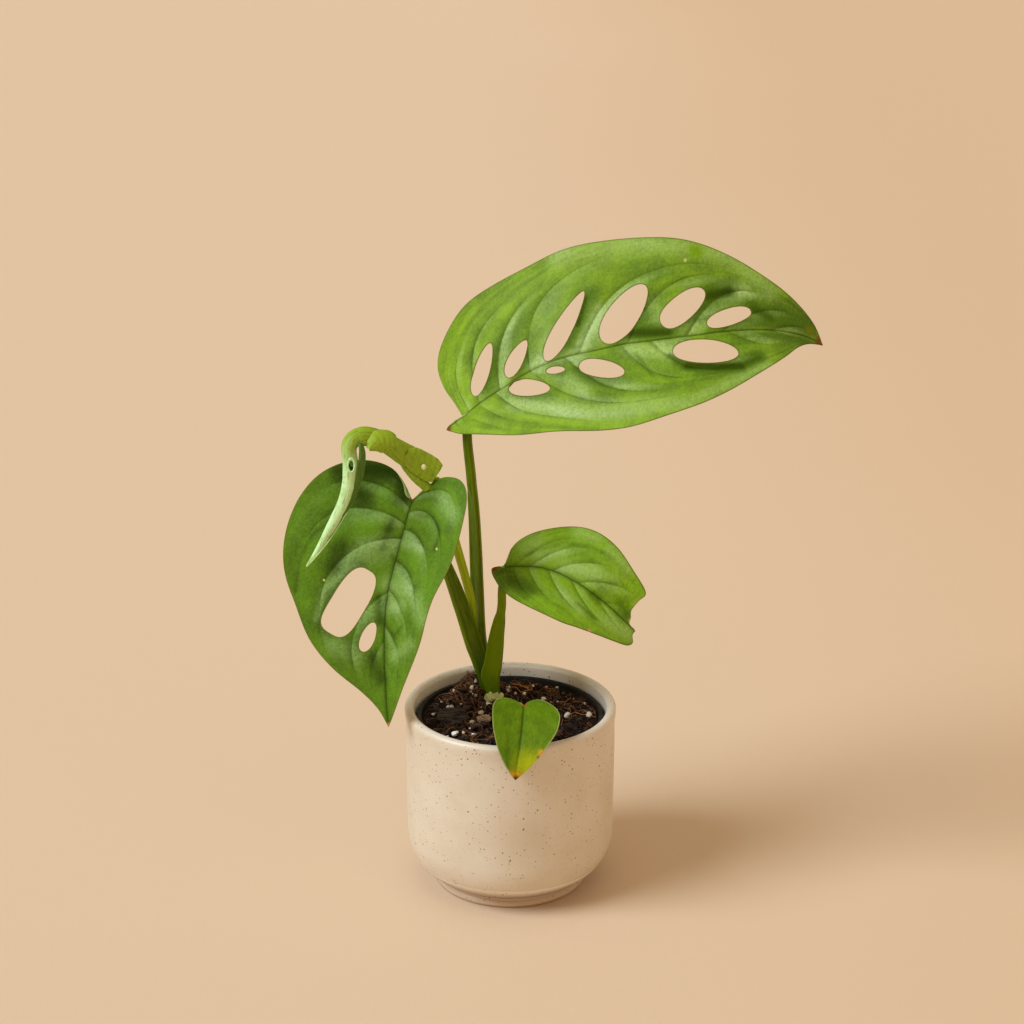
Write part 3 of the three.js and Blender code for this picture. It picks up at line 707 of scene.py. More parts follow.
@dataclass(frozen=True)
class StonewareGlaze:
    """Satin cream glaze with iron speckles, thin over the bare foot, with painted shade under the
    rounded corner and painted light inside.

    Attributes:
        cream: the glaze where it lies thick.
        warm: the glaze where it lies thin.
        inside: painted light: a paler glaze inside, over the soil, so that the shaded inner wall
            looks lit.
        thin: painted shade, a dark brown under the rounded corner, where the wall faces down from
            the light.
        ring: the glaze on the foot.
        clay: the bare clay of the foot.
        iron: the speckles.
        foot: the height of the bare foot, in metres.
    """

    cream: Colour = tone(222, 213, 195)
    warm: Colour = tone(214, 202, 180)
    inside: Colour = tone(252, 245, 232)
    thin: Colour = tone(142, 114, 84)
    ring: Colour = tone(200, 174, 144)
    clay: Colour = tone(178, 150, 118)
    iron: Colour = tone(104, 50, 18)
    foot: float = 0.0012

    def make(self) -> bpy.types.Material:
        """Builds the material.

        Returns:
            The material.
        """
        s = Shader("stoneware_glaze")
        place = s.place()
        cloud = s.noise(place, 38, 3)
        colour = s.mix(cloud.ease(0.35, 0.7), self.cream, self.warm)
        marks = None
        for scale, size, share in ((330, 0.14, 0.75), (620, 0.19, 0.8), (1500, 0.25, 0.65)):
            distance, chance = s.cells(place, scale)
            radius = (chance - (1 - share)).most(0) * (size / share)
            spot = (distance - radius).ease(0.02, -0.03)
            marks = spot if marks is None else marks.most(spot * (0.45 if scale > 1000 else 1))
        x, y, height = s.axes(place)
        # painted light: the glaze inside the lip is paler, to light the inner wall
        painted_light_inside = (x * x + y * y).ease(0.0440**2, 0.0432**2)
        colour = s.mix(painted_light_inside, colour, self.inside)
        # painted shade: the glaze darkens under the rounded corner, as though in shadow
        under = height.ease(0.015, 0.0065) * height.ease(0.0036, 0.0046)
        colour = s.mix(under * 0.92, colour, self.thin)
        colour = s.mix(height.ease(0.0046, 0.0036) * 0.9, colour, self.ring)
        colour = s.mix(marks * 0.95, colour, self.iron)
        bare = (height + (cloud - 0.5) * 0.001).ease(self.foot + 0.0004, self.foot - 0.0006)
        colour = s.mix(bare, colour, self.clay)
        grain = s.noise(place, 2600, 2)
        s.relief(s.noise(place, 110, 2) * 0.1 + grain * 0.02 - marks * 0.04 + bare * grain * 0.1)
        rough = 0.36 + cloud * 0.12 + bare * 0.4 + marks * 0.1
        return s.dress(colour, rough, Coat_Weight=0.12, Coat_Roughness=0.25)


@dataclass(frozen=True)
class LinerPlastic:
    """Thin dark green moulded plastic, dusty with soil.

    Attributes:
        plastic: the moulding.
        dust: the soil dust on it.
    """

    plastic: Colour = tone(13, 16, 12)
    dust: Colour = tone(50, 36, 24)

    def make(self) -> bpy.types.Material:
        """Builds the material.

        Returns:
            The material.
        """
        s = Shader("liner_plastic")
        place = s.place()
        dust = s.noise(place, 260, 4).ease(0.48, 0.75)
        colour = s.mix(dust * 0.5, self.plastic, self.dust)
        s.relief(s.noise(place, 900, 2) * 0.06 + dust * 0.05)
        return s.dress(colour, 0.5 + dust * 0.35, Specular_IOR_Level=0.25)


@dataclass(frozen=True)
class Soil:
    """Damp, crumbly potting mix.

    Attributes:
        wet: the dark crumbs.
        dry: the dry crumbs.
        red: rotted fibre among them.
    """

    wet: Colour = tone(16, 10, 7)
    dry: Colour = tone(48, 30, 19)
    red: Colour = tone(84, 46, 22)

    def make(self) -> bpy.types.Material:
        """Builds the material.

        Returns:
            The material.
        """
        s = Shader("potting_mix")
        place = s.place()
        coarse, fine = s.noise(place, 420, 4, 0.6), s.noise(place, 1500, 3, 0.8)
        colour = s.mix(coarse.ease(0.38, 0.68), self.wet, self.dry)
        colour = s.mix(fine.ease(0.56, 0.72) * 0.6, colour, self.red)
        s.relief(coarse * 1.2 + fine * 0.5)
        return s.dress(colour, 0.95 - fine * 0.25, Specular_IOR_Level=0.15)


@dataclass(frozen=True)
class Toned:
    """A rough natural finish whose colour runs between two with each copy's own tone.

    Attributes:
        name: the material's name.
        dark: the colour at tone 0.
        pale: the colour at tone 1.
        grain: how many grains fit in a metre.
        rough: the roughness.
        depth: the relief, in mm.
    """

    name: str
    dark: Colour
    pale: Colour
    grain: float = 1800
    rough: float = 0.8
    depth: float = 0.15

    def make(self) -> bpy.types.Material:
        """Builds the material.

        Returns:
            The material.
        """
        s = Shader(self.name)
        grain = s.noise(s.place(), self.grain, 3, 0.4)
        share = (s.number("tone") + (grain - 0.5) * 0.7).least(1).most(0)
        s.relief(grain * self.depth)
        return s.dress(s.mix(share, self.dark, self.pale), self.rough - grain * 0.15)


@dataclass(frozen=True)
class ChipWood:
    """A splinter of bark or wood with its grain along one way.

    Attributes:
        name: the material's name.
        dark: the grooves of the grain.
        pale: the ridges of the grain.
        turn: the way of the grain, in degrees.
    """

    name: str
    dark: Colour
    pale: Colour
    turn: float

    def make(self) -> bpy.types.Material:
        """Builds the material.

        Returns:
            The material.
        """
        s = Shader(self.name)
        grained = s.mapped(s.place(), (1, 5, 3), self.turn)
        grain, spots = s.noise(grained, 260, 5, 0.7), s.noise(s.place(), 900, 3)
        colour = s.mix(grain.ease(0.3, 0.72), self.dark, self.pale)
        colour = s.mix(spots.ease(0.55, 0.75) * 0.5, colour, self.dark)
        s.relief(grain * 1.5 + spots * 0.6)
        return s.dress(colour, 0.8 + grain * 0.15, Specular_IOR_Level=0.2)


@dataclass(frozen=True)
class Spot:
    """A brown or yellow mark on a leaf.

    Attributes:
        x: its place across the flat leaf, in mm.
        y: its place along the flat leaf, in mm.
        core: the radius that is fully marked, in mm.
        reach: the radius where it ends, in mm.
        colour: its colour.
        ragged: how uneven its edge is, in mm.
    """

    x: float
    y: float
    core: float
    reach: float
    colour: Colour
    ragged: float = 1.0


@dataclass(frozen=True)
class LeafSkin:
    """The waxy skin of a grown leaf: sunken veins, a quilted face, painted sheen and shade.

    Attributes:
        name: the leaf's name.
        light: the young green between the veins.
        deep: the dark green.
        painted_sheen: a painted sheen, greyish green, on the crowns of the quilting.
        vein: the sunken side veins; its green also paints the shade beside them and in the dips.
        rib: the midrib.
        edge: the thin line round the margin and the holes.
        under: the underside.
        patch: the size of the mottling, in mm.
        gloss: the roughness of the face.
        sheen: how much painted sheen lies along the veins.
        ageing: how much deeper the green is at the tip.
        spots: its brown and yellow marks.
    """

    name: str
    light: Colour
    deep: Colour
    painted_sheen: Colour
    vein: Colour
    rib: Colour
    edge: Colour
    under: Colour = tone(128, 152, 84)
    patch: float = 9
    gloss: float = 0.42
    sheen: float = 0.5
    ageing: float = 0.2
    spots: tuple[Spot, ...] = ()

    def marked(self, s: Shader, plan: Any, colour: Any) -> Any:
        """Adds the spots to a colour.

        Args:
            s: the material in the making.
            plan: the point's place on the flat leaf.
            colour: the colour so far.

        Returns:
            The colour with its spots.
        """
        uneven = s.noise(plan, 0.5, 3) - 0.5
        for spot in self.spots:
            away = s.far(plan, (spot.x, spot.y, 0)) + uneven * (2 * spot.ragged)
            colour = s.mix(away.ease(spot.reach, spot.core), colour, spot.colour)
        return colour

    def lines(self, s: Shader) -> tuple[Signal, Signal]:
        """Measures the distances from the nearest side vein and from the midrib, in mm."""
        return s.number("phase").from_whole() * s.number("pitch"), abs(s.number("rib"))

    def upper(self) -> bpy.types.Material:
        """Builds the face's material.

        Returns:
            The material.
        """
        s = Shader(self.name + "_face")
        plan = s.vector("plan")
        from_vein, from_rib = self.lines(s)
        phase, pitch, side = s.number("phase"), s.number("pitch"), s.number("side")
        painted_shade, crown_painted_light, reach = s.number("painted_shade"), s.number("crown_painted_light"), s.number("reach")
        margin, grain = s.number("margin"), s.noise(plan, 1.5, 3)
        bands = s.join(phase * 0.9, side * 2.4, reach * 2)
        drift, patches = s.noise(bands, 1.1, 2, 0.3), s.noise(plan, 1 / self.patch, 2, 0.3)
        small, net = s.noise(plan, 0.6, 3), s.cells(plan, 0.45, True)[0]
        # random patches of green, lighter on crowns with painted light and darker in painted shade
        young = drift * 0.9 + patches * 0.7 + small * 0.3 + crown_painted_light * 0.2 - painted_shade * 0.95
        young = (young - reach * self.ageing - 0.42).ease(-0.12, 0.9)
        colour = s.mix(young, self.deep, self.light)
        past = ((phase + 0.5).fraction() - 0.5) * pitch
        broad = pitch.ease(3.5, 9) * side.ease(0.97, 0.6)
        # painted sheen: lighter just past each vein, on its tip side, in patches
        lit = past.ease(-0.1, 0.9) * phase.fraction().ease(0.62, 0.14) * broad
        waxy = lit * s.noise(bands, 0.9, 2).ease(0.34, 0.66) * self.sheen
        # the painted sheen also takes the crowns' painted light and stays out of the painted shade;
        # it sets the coat too
        painted_sheen_and_coat = (waxy + crown_painted_light * 0.85 + 0.12) * (1 - painted_shade)
        painted_sheen_and_coat = painted_sheen_and_coat * (0.5 + grain.ease(0.35, 0.7) * 0.4 + small.ease(0.3, 0.7) * 0.4)
        colour = s.mix(painted_sheen_and_coat * 0.8, colour, self.painted_sheen)
        # painted shade just before each vein, on its base side
        shaded = past.ease(-2.4, -0.15) * past.ease(0.35, 0) * broad
        faint = s.noise(plan, 0.06, 2).ease(0.3, 0.62)
        colour = s.mix(shaded * (0.1 + faint * 0.16), colour, self.vein)
        line = from_vein.ease(0.55, 0.12) * broad * (0.08 + faint * 0.3)
        colour = s.mix(line + net.ease(0.12, 0) * 0.05, colour, self.vein)
        # painted shade in the dips and beside the holes, towards the vein green
        colour = s.mix(painted_shade.ease(0.45, 1.1) * 0.65, colour, self.vein)
        # painted sheen in small flecks
        colour = s.mix(grain.ease(0.52, 0.78) * 0.2 * (1 - painted_shade), colour, self.painted_sheen)
        colour = s.mix(from_rib.ease(2.4, 0.7) * 0.3, colour, self.rib)
        colour = s.mix(from_rib.ease(0.5, 0.22) * 0.62, colour, self.vein)
        colour = s.mix(margin.ease(0.6, 0.2) * 0.75, colour, self.edge)
        colour = self.marked(s, plan, colour)
        ridge = from_vein.ease(0, 1.1) * broad * 0.12 + from_rib.ease(0.1, 0.9) * 0.24
        pleat = s.noise(s.join(phase * 1.6, side * 9, reach * 5), 1.4, 3, 0.5)
        s.relief(ridge + net.ease(0, 0.3) * 0.06 + small * 0.2 + grain * 0.1 + pleat * 0.3)
        s.feed(s.surface.inputs["Coat Weight"], painted_sheen_and_coat.least(1) * 0.35)
        rough = self.gloss + small * 0.14 + painted_shade * 0.25
        return s.dress(colour, rough, Specular_IOR_Level=0.07, Coat_Roughness=0.36)

    def lower(self) -> bpy.types.Material:
        """Builds the underside's material.

        Returns:
            The material.
        """
        s = Shader(self.name + "_underside")
        plan = s.vector("plan")
        from_vein, from_rib = self.lines(s)
        small = s.noise(plan, 0.5, 3)
        colour = s.mix(small * 0.5, self.under, self.light)
        pale = from_vein.ease(0.8, 0.2).most(from_rib.ease(1.6, 0.7))
        colour = s.mix(pale * 0.55, colour, tone(168, 182, 112))
        colour = self.marked(s, plan, colour)
        s.relief(from_vein.ease(0.9, 0) * 0.25 + s.cells(plan, 0.45, True)[0] * -0.1)
        return s.dress(colour, 0.55 + small * 0.15)

    def rim(self) -> bpy.types.Material:
        """Builds the cut edge's material.

        Returns:
            The material.
        """
        s = Shader(self.name + "_edge")
        plan = s.vector("plan")
        grain = s.noise(plan, 0.6, 2)
        colour = self.marked(s, plan, s.mix(grain, self.edge, self.under))
        return s.dress(colour, 0.6 + grain * 0.1)


@dataclass(frozen=True)
class StalkSkin:
    """The skin of a leaf stalk and its sheath.

    Attributes:
        name: the stalk's name.
        face: the dark middle.
        edge: the lighter flanks of the sheath.
        blush: the red flank.
        top: the colour where the stalk meets its leaf.
        blush_side: the side that the blush is on.
        foot: the colour at its foot.
    """

    name: str
    face: Colour
    edge: Colour
    blush: Colour
    top: Colour
    blush_side: Side = Side.LEFT
    foot: Colour = tone(44, 84, 4)

    def make(self) -> bpy.types.Material:
        """Builds the material.

        Returns:
            The material.
        """
        s = Shader(self.name + "_skin")
        place = s.place()
        across, front, share = s.number("across"), s.number("front"), s.number("share")
        stretched = s.join(across * 3, front * 3, share * 6)
        streak = s.noise(stretched, 2.2, 3, 0.4)
        fine = s.noise(s.join(across * 14, front * 14, share * 10), 1.6, 2)
        colour = s.mix((streak * 0.8 + fine * 0.3).ease(0.3, 0.8) * 0.6, self.face, self.edge)
        colour = s.mix(abs(across).ease(0.62, 0.95) * 0.75, colour, self.edge)
        red = (across * self.blush_side.value + streak * 0.2).ease(0.98, 1.12)
        colour = s.mix(red * 0.5, colour, self.blush)
        colour = s.mix(share.ease(0.8, 1) * 0.8, colour, self.top)
        colour = s.mix(share.ease(0.34, 0.1) * 0.75, colour, self.foot)
        freckles, chance = s.cells(place, 700)
        mark = (freckles - (chance - 0.7).most(0) * 0.8).ease(0.03, -0.05)
        colour = s.mix(mark * 0.35, colour, self.edge)
        s.relief(fine * 0.14 + streak * 0.12)
        return s.dress(colour, 0.42 + streak * 0.15, Specular_IOR_Level=0.12)


@dataclass(frozen=True)
class RolledSkin:
    """The skin of the new leaf, still rolled: pale and soft, with slanting creases.

    Attributes:
        name: the material's name.
        pale: the waxy outside near the tip.
        green: the yellow-green of the upper run.
        shade: the darker green inside the folds, also painted as shade in the creases.
        turnover: the share of the length where green gives way to pale.
    """

    name: str = "rolled_leaf"
    pale: Colour = tone(206, 250, 184)
    green: Colour = tone(146, 178, 10)
    shade: Colour = tone(72, 112, 6)
    turnover: float = 0.5

    def make(self) -> bpy.types.Material:
        """Builds the material.

        Returns:
            The material.
        """
        s = Shader(self.name)
        plan = s.vector("plan")
        share, inner = s.number("share"), s.number("inner")
        creases = s.noise(s.mapped(plan, (1, 0.16, 1)), 0.9, 3, 0.6)
        patches = s.noise(plan, 0.2, 3)
        blend = (share + (patches - 0.5) * 0.2).ease(self.turnover - 0.1, self.turnover + 0.08)
        colour = s.mix(blend, self.green, self.pale)
        colour = s.mix(patches.ease(0.4, 0.75) * 0.45, colour, self.green)
        # painted shade in the slanting creases
        colour = s.mix(creases.ease(0.52, 0.72) * 0.42, colour, self.shade)
        colour = s.mix(inner, colour, self.shade)
        colour = s.mix(s.number("margin").ease(0.5, 0.1) * 0.12, colour, tone(206, 214, 150))
        s.relief(creases * 0.5 + s.noise(plan, 2.5, 2) * 0.06)
        return s.dress(colour, 0.5 + patches * 0.12)


@dataclass(frozen=True)
class DryScale:
    """Papery dry leaf scale."""

    pale: Colour = tone(236, 246, 168)
    brown: Colour = tone(176, 160, 84)

    def make(self) -> bpy.types.Material:
        """Builds the material.

        Returns:
            The material.
        """
        s = Shader("dry_scale")
        place = s.place()
        upright = s.mapped(place, (1, 1, 0.25))
        fibre, patch = s.noise(upright, 1500, 3, 0.3), s.noise(place, 260, 3)
        colour = s.mix(patch.ease(0.5, 0.72) * 0.75, self.pale, self.brown)
        colour = s.mix(fibre.ease(0.55, 0.75) * 0.4, colour, self.brown)
        s.relief(fibre * 0.3 + patch * 0.2)
        return s.dress(colour, 0.75 + fibre * 0.1)


@dataclass(frozen=True)
class RootSkin:
    """Pale, dirty skin of the stem and its roots."""

    pale: Colour = tone(150, 140, 92)
    dirt: Colour = tone(64, 46, 30)

    def make(self) -> bpy.types.Material:
        """Builds the material.

        Returns:
            The material.
        """
        s = Shader("root_skin")
        place = s.place()
        patch, fine = s.noise(place, 220, 4), s.noise(place, 1400, 2)
        colour = s.mix(patch.ease(0.4, 0.62), self.pale, self.dirt)
        s.relief(patch * 0.4 + fine * 0.15)
        return s.dress(colour, 0.7 + fine * 0.2)


@dataclass
class StonewarePot:
    """The glazed pot, turned from its profile. All sizes are in mm."""

    foot_radius: float = 34.6
    groove_radius: float = 33.4
    belly: Pair = (46.7, 24.85)
    corner: Pair = (19.0, 21.4)
    corner_sweep: float = 70.6
    lip_centre: Pair = (45.35, 82.9)
    lip: Pair = (2.15, 2.1)
    floor: float = 7.5
    inner_centre: Pair = (28.7, 21.5)
    inner_corner: float = 14.0
    steps: int = 160

    def profile(self) -> list[Pair]:
        """Draws the outline from the middle of the base, round the lip and back inside.

        Returns:
            The radius and height of each point.
        """
        corner_centre = (self.belly[0] - self.corner[0], self.belly[1])
        wall = [
            (46.8, 36), (46.93, 50), (47.05, 64), (47.0, 73), (46.9, 77.2), (47.15, 79.6),
            (47.42, 81.2),
        ]
        inner = [(43.15, 80.6), (43.05, 76), (42.9, 62), (42.8, 46), (42.75, 32)]
        return [
            (0, 0.35),
            (self.foot_radius - 5, 0.35),
            (self.foot_radius - 4.2, 0),
            *arc((self.foot_radius - 0.9, 0.9), (0.9, 0.9), -90, 0, 4),
            (self.foot_radius, 2.2),
            (self.groove_radius + 0.2, 3.2),
            *arc(corner_centre, self.corner, -self.corner_sweep, 0, 18),
            *wall,
            *arc(self.lip_centre, self.lip, 0, 180, 14),
            *inner,
            *arc(self.inner_centre, (self.inner_corner, self.inner_corner), 0, -90, 12),
            (0, self.floor),
        ]

    def build(self) -> None:
        """Makes the pot."""
        pot = turned("stoneware_pot", self.profile(), self.steps)
        smooth(pot, 50)
        wear(pot, StonewareGlaze().make())
        hand_over(pot, Slot.STONEWARE, "pot")


@dataclass
class GrowerPot:
    """The thin plastic pot inside, with its drain holes. All sizes are in mm."""

    bottom: float = 7.8
    top: float = 80.0
    bottom_radius: float = 30.5
    top_radius: float = 41.0
    rim_radius: float = 42.0
    rim_height: float = 2.6
    wall: float = 1.2
    floor: float = 1.6
    drain_circle: float = 20.0
    drain_radius: float = 3.0
    drains: int = 6
    steps: int = 120

    def radius(self, height: float) -> float:
        """Gives the outside radius at a height."""
        share = (height - self.bottom) / (self.top - self.bottom)
        return self.bottom_radius + (self.top_radius - self.bottom_radius) * share

    def profile(self) -> list[Pair]:
        """Draws the outline from the middle of the base, round the rim and back inside.

        Returns:
            The radius and height of each point.
        """
        under_rim = self.top - self.rim_height
        inside = self.bottom + self.floor
        return [
            (0, self.bottom),
            (self.bottom_radius - 1.5, self.bottom),
            (self.radius(self.bottom + 1.5), self.bottom + 1.5),
            (self.radius(45), 45),
            (self.radius(under_rim), under_rim),
            (self.rim_radius - 0.3, under_rim + 0.2),
            (self.rim_radius, under_rim + 0.5),
            (self.rim_radius, self.top - 0.5),
            (self.rim_radius - 0.5, self.top),
            (self.top_radius - self.wall + 0.3, self.top),
            (self.top_radius - self.wall, self.top - 0.3),
            (self.radius(45) - self.wall, 45),
            (self.radius(inside) - self.wall, inside),
            (0, inside),
        ]

    def build(self) -> None:
        """Makes the liner and cuts its drain holes."""
        liner = turned("grower_liner", self.profile(), self.steps)
        for number in range(self.drains):
            angle = math.tau * number / self.drains
            x, y = self.drain_circle * math.cos(angle), self.drain_circle * math.sin(angle)
            size = {"radius": self.drain_radius * MM, "depth": 8 * MM, "vertices": 24}
            drill = added("drill", bpy.ops.mesh.primitive_cylinder_add, **size)
            set_corners(drill, corners(drill) / MM + np.array([x, y, self.bottom]))
            modify(liner, "BOOLEAN", operation="DIFFERENCE", object=drill)
            bpy.data.objects.remove(drill)
        smooth(liner, 40)
        wear(liner, LinerPlastic().make())
        hand_over(liner, Slot.LINER, "grower_pot")


# The white grains seen in front: x, y and radius in mm, and tone.
SEEN_PERLITE = (
    (-24.5, 2.4, 1.0, 0.9), (-25.9, 24.0, 0.8, 0.85), (-15.7, 24.0, 1.0, 0.9),
    (-15.6, 14.6, 0.9, 0.55), (-34.9, 1.8, 0.8, 0.9), (-24.1, -21.3, 1.6, 1.0),
    (-20.6, -22.7, 0.9, 1.0), (-16.1, -21.9, 1.1, 1.0), (-17.7, -13.5, 0.8, 0.8),
    (-10.0, 5.8, 0.9, 0.9), (25.5, 0.4, 1.4, 0.8), (35.4, -1.2, 1.5, 0.6),
    (21.4, 29.6, 0.9, 0.6), (33.7, 12.6, 0.8, 0.4), (-14.6, 34.6, 0.8, 0.8),
    (-27.8, -22.3, 0.7, 0.8), (-16.9, -7.6, 1.2, 0.4), (10.5, 30.7, 0.6, 1.0),
    (-31.9, -7.6, 0.5, 1.0),
)
PERLITE_SCALE = 1.15  # how much larger the grains are made than they were measured
PERLITE_FRONT = -4  # where the front begins, in mm: y is below it
PERLITE_SHARE = 0.25  # the share of the chance grains that is kept in front

# The fibres seen in front: x and y in mm, heading in radians and length in mm.
SEEN_FIBRES = ((1.7, 26.1, -0.61, 16.5), (3.4, 27.6, -0.5, 11.0))
SEEN_FIBRE_FORM = (0.3, 0.9, 1.4, 0.26)  # their curl, arch, tilt and radius
SEEN_FIBRE_TONE = 1.1


@dataclass
class PottingMix:
    """The mix with its coir, bark crumbs and perlite. All sizes are in mm."""

    level: float = 78.7
    radius: float = 39.2
    mounds: tuple[tuple[float, float, float, float], ...] = ((-8, 17, 2, 12), (-16, 28, 6.6, 8))
    slump: float = 0.6
    relief: float = 1.1
    waves: int = 34
    shortest_wave: float = 1.6
    wave_range: float = 9.0
    skirt: float = 14.0
    bottom: float = 64.0
    taper: float = 0.94
    strewn: float = 0.97
    fibres_reach: float = 0.985
    crumbs_reach: float = 0.97
    perlite_reach: float = 0.95
    cells: int = 170
    fibres: int = 520
    crumbs: int = 520
    grains: int = 80
    seed: int = 7

    def height(self, x: np.ndarray, y: np.ndarray) -> np.ndarray:
        """Gives the height of the mix's surface at a place.

        Args:
            x: the places from left to right.
            y: the places from front to back.

        Returns:
            The heights.
        """
        share = np.hypot(x, y) / self.radius
        height = self.level - self.slump * share**4
        for mound_x, mound_y, top, width in self.mounds:
            height = height + top * np.exp(-((x - mound_x) ** 2 + (y - mound_y) ** 2) / width**2)
        return height

    def rough_height(self, x: np.ndarray, y: np.ndarray) -> np.ndarray:
        """Adds the crumbly relief to the surface's height.

        Args:
            x: the places from left to right.
            y: the places from front to back.

        Returns:
            The heights.
        """
        rng = np.random.default_rng(self.seed)
        bumps = np.zeros_like(x)
        for wave in range(self.waves):
            length = self.shortest_wave + self.wave_range * (wave / self.waves) ** 2
            turn, phase = rng.uniform(0, math.tau, 2)
            along = x * math.cos(turn) + y * math.sin(turn)
            bumps += length**0.7 * np.sin(along * math.tau / length + phase)
        edge = 1 - (np.hypot(x, y) / self.radius) ** 6
        return self.height(x, y) + self.relief * edge * bumps / 16

    def scattered(
        self,
        count: int,
        rng: np.random.Generator,
        heap: float,
    ) -> tuple[np.ndarray, np.ndarray]:
        """Picks places on the surface.

        Args:
            count: how many.
            rng: the source of chance.
            heap: the share of them that lie on the heap behind the stalks.

        Returns:
            Their x and y.
        """
        reach = self.radius * self.strewn
        distance = reach * np.sqrt(rng.random(count))
        angle = rng.uniform(0, math.tau, count)
        x, y = distance * np.cos(angle), distance * np.sin(angle)
        on_heap = rng.random(count) < heap
        mound_x, mound_y, _, width = self.mounds[1]
        x = np.where(on_heap, mound_x + rng.normal(0, width * 0.6, count), x)
        y = np.where(on_heap, mound_y + rng.normal(0, width * 0.5, count), y)
        inside = np.minimum(1, reach / np.hypot(x, y))
        return x * inside, y * inside

    def make_body(self) -> None:
        """Makes the surface and closes it underneath."""
        body, across, along = sheet("soil", self.cells, self.cells)
        x = self.radius * across * np.sqrt(1 - along**2 / 2)
        y = self.radius * along * np.sqrt(1 - across**2 / 2)
        border = np.maximum(np.abs(across), np.abs(along)) > 0.999
        set_corners(body, np.stack([x, y, self.rough_height(x, y)], -1))
        with editing(body, border):
            down, middle = (0, 0, -self.skirt * MM), (0, 0, self.bottom * MM)
            bpy.ops.mesh.extrude_region_move(TRANSFORM_OT_translate={"value": down})
            shrink = (self.taper, self.taper, 0)
            bpy.ops.transform.resize(value=shrink, center_override=middle)
            bpy.ops.mesh.edge_face_add()
        smooth(body, 70)
        wear(body, Soil().make())
        hand_over(body, Slot.MIX, "potting_mix")

    def make_fibres(self) -> None:
        """Strews the coir fibres, copies of one thin tube, the seen ones first."""
        rng = np.random.default_rng(self.seed + 1)
        steps, sides, count = 7, 4, self.fibres
        size = {"vertices": sides, "radius": 1, "depth": 2, "end_fill_type": "NGON"}
        hair = added("hair", bpy.ops.mesh.primitive_cylinder_add, **size)
        for cut in range(1, steps):
            with editing(hair):
                where = (0, 0, 2 * cut / steps - 1)
                bpy.ops.mesh.bisect(plane_co=where, plane_no=(0, 0, 1))
        shape = corners(hair)
        share = (shape[:, 2] + 1) / 2
        x, y = self.scattered(count, rng, 0.3)
        heading = rng.uniform(0, math.tau, count)
        length = rng.gamma(3.2, 2.4, count).clip(2, 24)
        curl = rng.normal(0, 0.9, count)
        lift = rng.gamma(1.4, 0.55, count).clip(0.05, 3.2)
        tilt = rng.uniform(-0.2, 1.2, count)
        thick = rng.uniform(0.07, 0.17, count)
        for number, (from_left, from_front, way, long) in enumerate(SEEN_FIBRES):
            x[number], y[number], heading[number], length[number] = from_left, from_front, way, long
            curl[number], lift[number], tilt[number], thick[number] = SEEN_FIBRE_FORM
        at = share[None, :] - 0.5
        turn = heading[:, None] + curl[:, None] * at * 2
        path_x = x[:, None] + length[:, None] * at * np.cos(turn)
        path_y = y[:, None] + length[:, None] * at * np.sin(turn)
        reach = self.fibres_reach * self.radius
        inside = np.minimum(1, reach / np.hypot(path_x, path_y))
        path_x, path_y = path_x * inside, path_y * inside
        arch = lift[:, None] * (1 - (2 * at) ** 2) + tilt[:, None] * (at + 0.5)
        path_z = self.rough_height(path_x, path_y) + 0.05 + arch
        points = np.stack([
            path_x - np.sin(turn) * shape[:, 0] * thick[:, None],
            path_y + np.cos(turn) * shape[:, 0] * thick[:, None],
            path_z + shape[:, 1] * thick[:, None],
        ], -1)
        tones = rng.beta(1.2, 2.6, count)
        tones[: len(SEEN_FIBRES)] = SEEN_FIBRE_TONE
        fibres = many("coir_fibres", hair, points, tones)
        wear(fibres, Toned("coir", tone(38, 19, 8), tone(196, 132, 72)).make())
        hand_over(fibres, Slot.MIX)

    def lumps(
        self,
        name: str,
        rng: np.random.Generator,
        x: np.ndarray,
        y: np.ndarray,
        sizes: np.ndarray,
        tones: np.ndarray,
        flat: float,
        sunk: float,
    ) -> bpy.types.Object:
        """Strews uneven lumps, copies of one ball.

        Args:
            name: the piece's name.
            rng: the source of chance.
            x: their places.
            y: their places.
            sizes: their radii.
            tones: their tones.
            flat: how much flatter than wide they may be.
            sunk: the share of their radius that is sunk in the mix.

        Returns:
            The piece.
        """
        ball = added("ball", bpy.ops.mesh.primitive_ico_sphere_add, subdivisions=2, radius=1)
        shape, count = corners(ball), len(x)
        radius = np.ones((count, len(shape)))
        for _ in range(4):
            ways = rng.normal(0, 1, (count, 3))
            radius += 0.16 * np.sin(2.6 * ways @ shape.T + rng.uniform(0, 6, (count, 1)))
        stretch = rng.uniform(flat, 1, (count, 3)) * sizes[:, None]
        around = rng.uniform(0, math.tau, count)
        cosine, sine = np.cos(around)[:, None], np.sin(around)[:, None]
        local = shape[None] * radius[..., None] * stretch[:, None]
        lift = self.rough_height(x, y) + sizes * (0.5 - sunk)
        points = np.stack([
            x[:, None] + local[..., 0] * cosine - local[..., 1] * sine,
            y[:, None] + local[..., 0] * sine + local[..., 1] * cosine,
            lift[:, None] + local[..., 2] * 0.8,
        ], -1)
        return many(name, ball, points, tones)

    def make_crumbs(self) -> None:
        """Strews the bark crumbs."""
        rng = np.random.default_rng(self.seed + 2)
        x, y = self.scattered(self.crumbs, rng, 0.12)
        x, y = x * self.crumbs_reach, y * self.crumbs_reach
        sizes = rng.gamma(2.2, 0.34, self.crumbs).clip(0.3, 2.1)
        tones = rng.beta(1.2, 3, self.crumbs)
        crumbs = self.lumps("bark_crumbs", rng, x, y, sizes, tones, 0.5, 0.35)
        wear(crumbs, Toned("bark_crumb", tone(20, 13, 10), tone(98, 64, 42), 900, 0.9, 0.4).make())
        hand_over(crumbs, Slot.MIX)

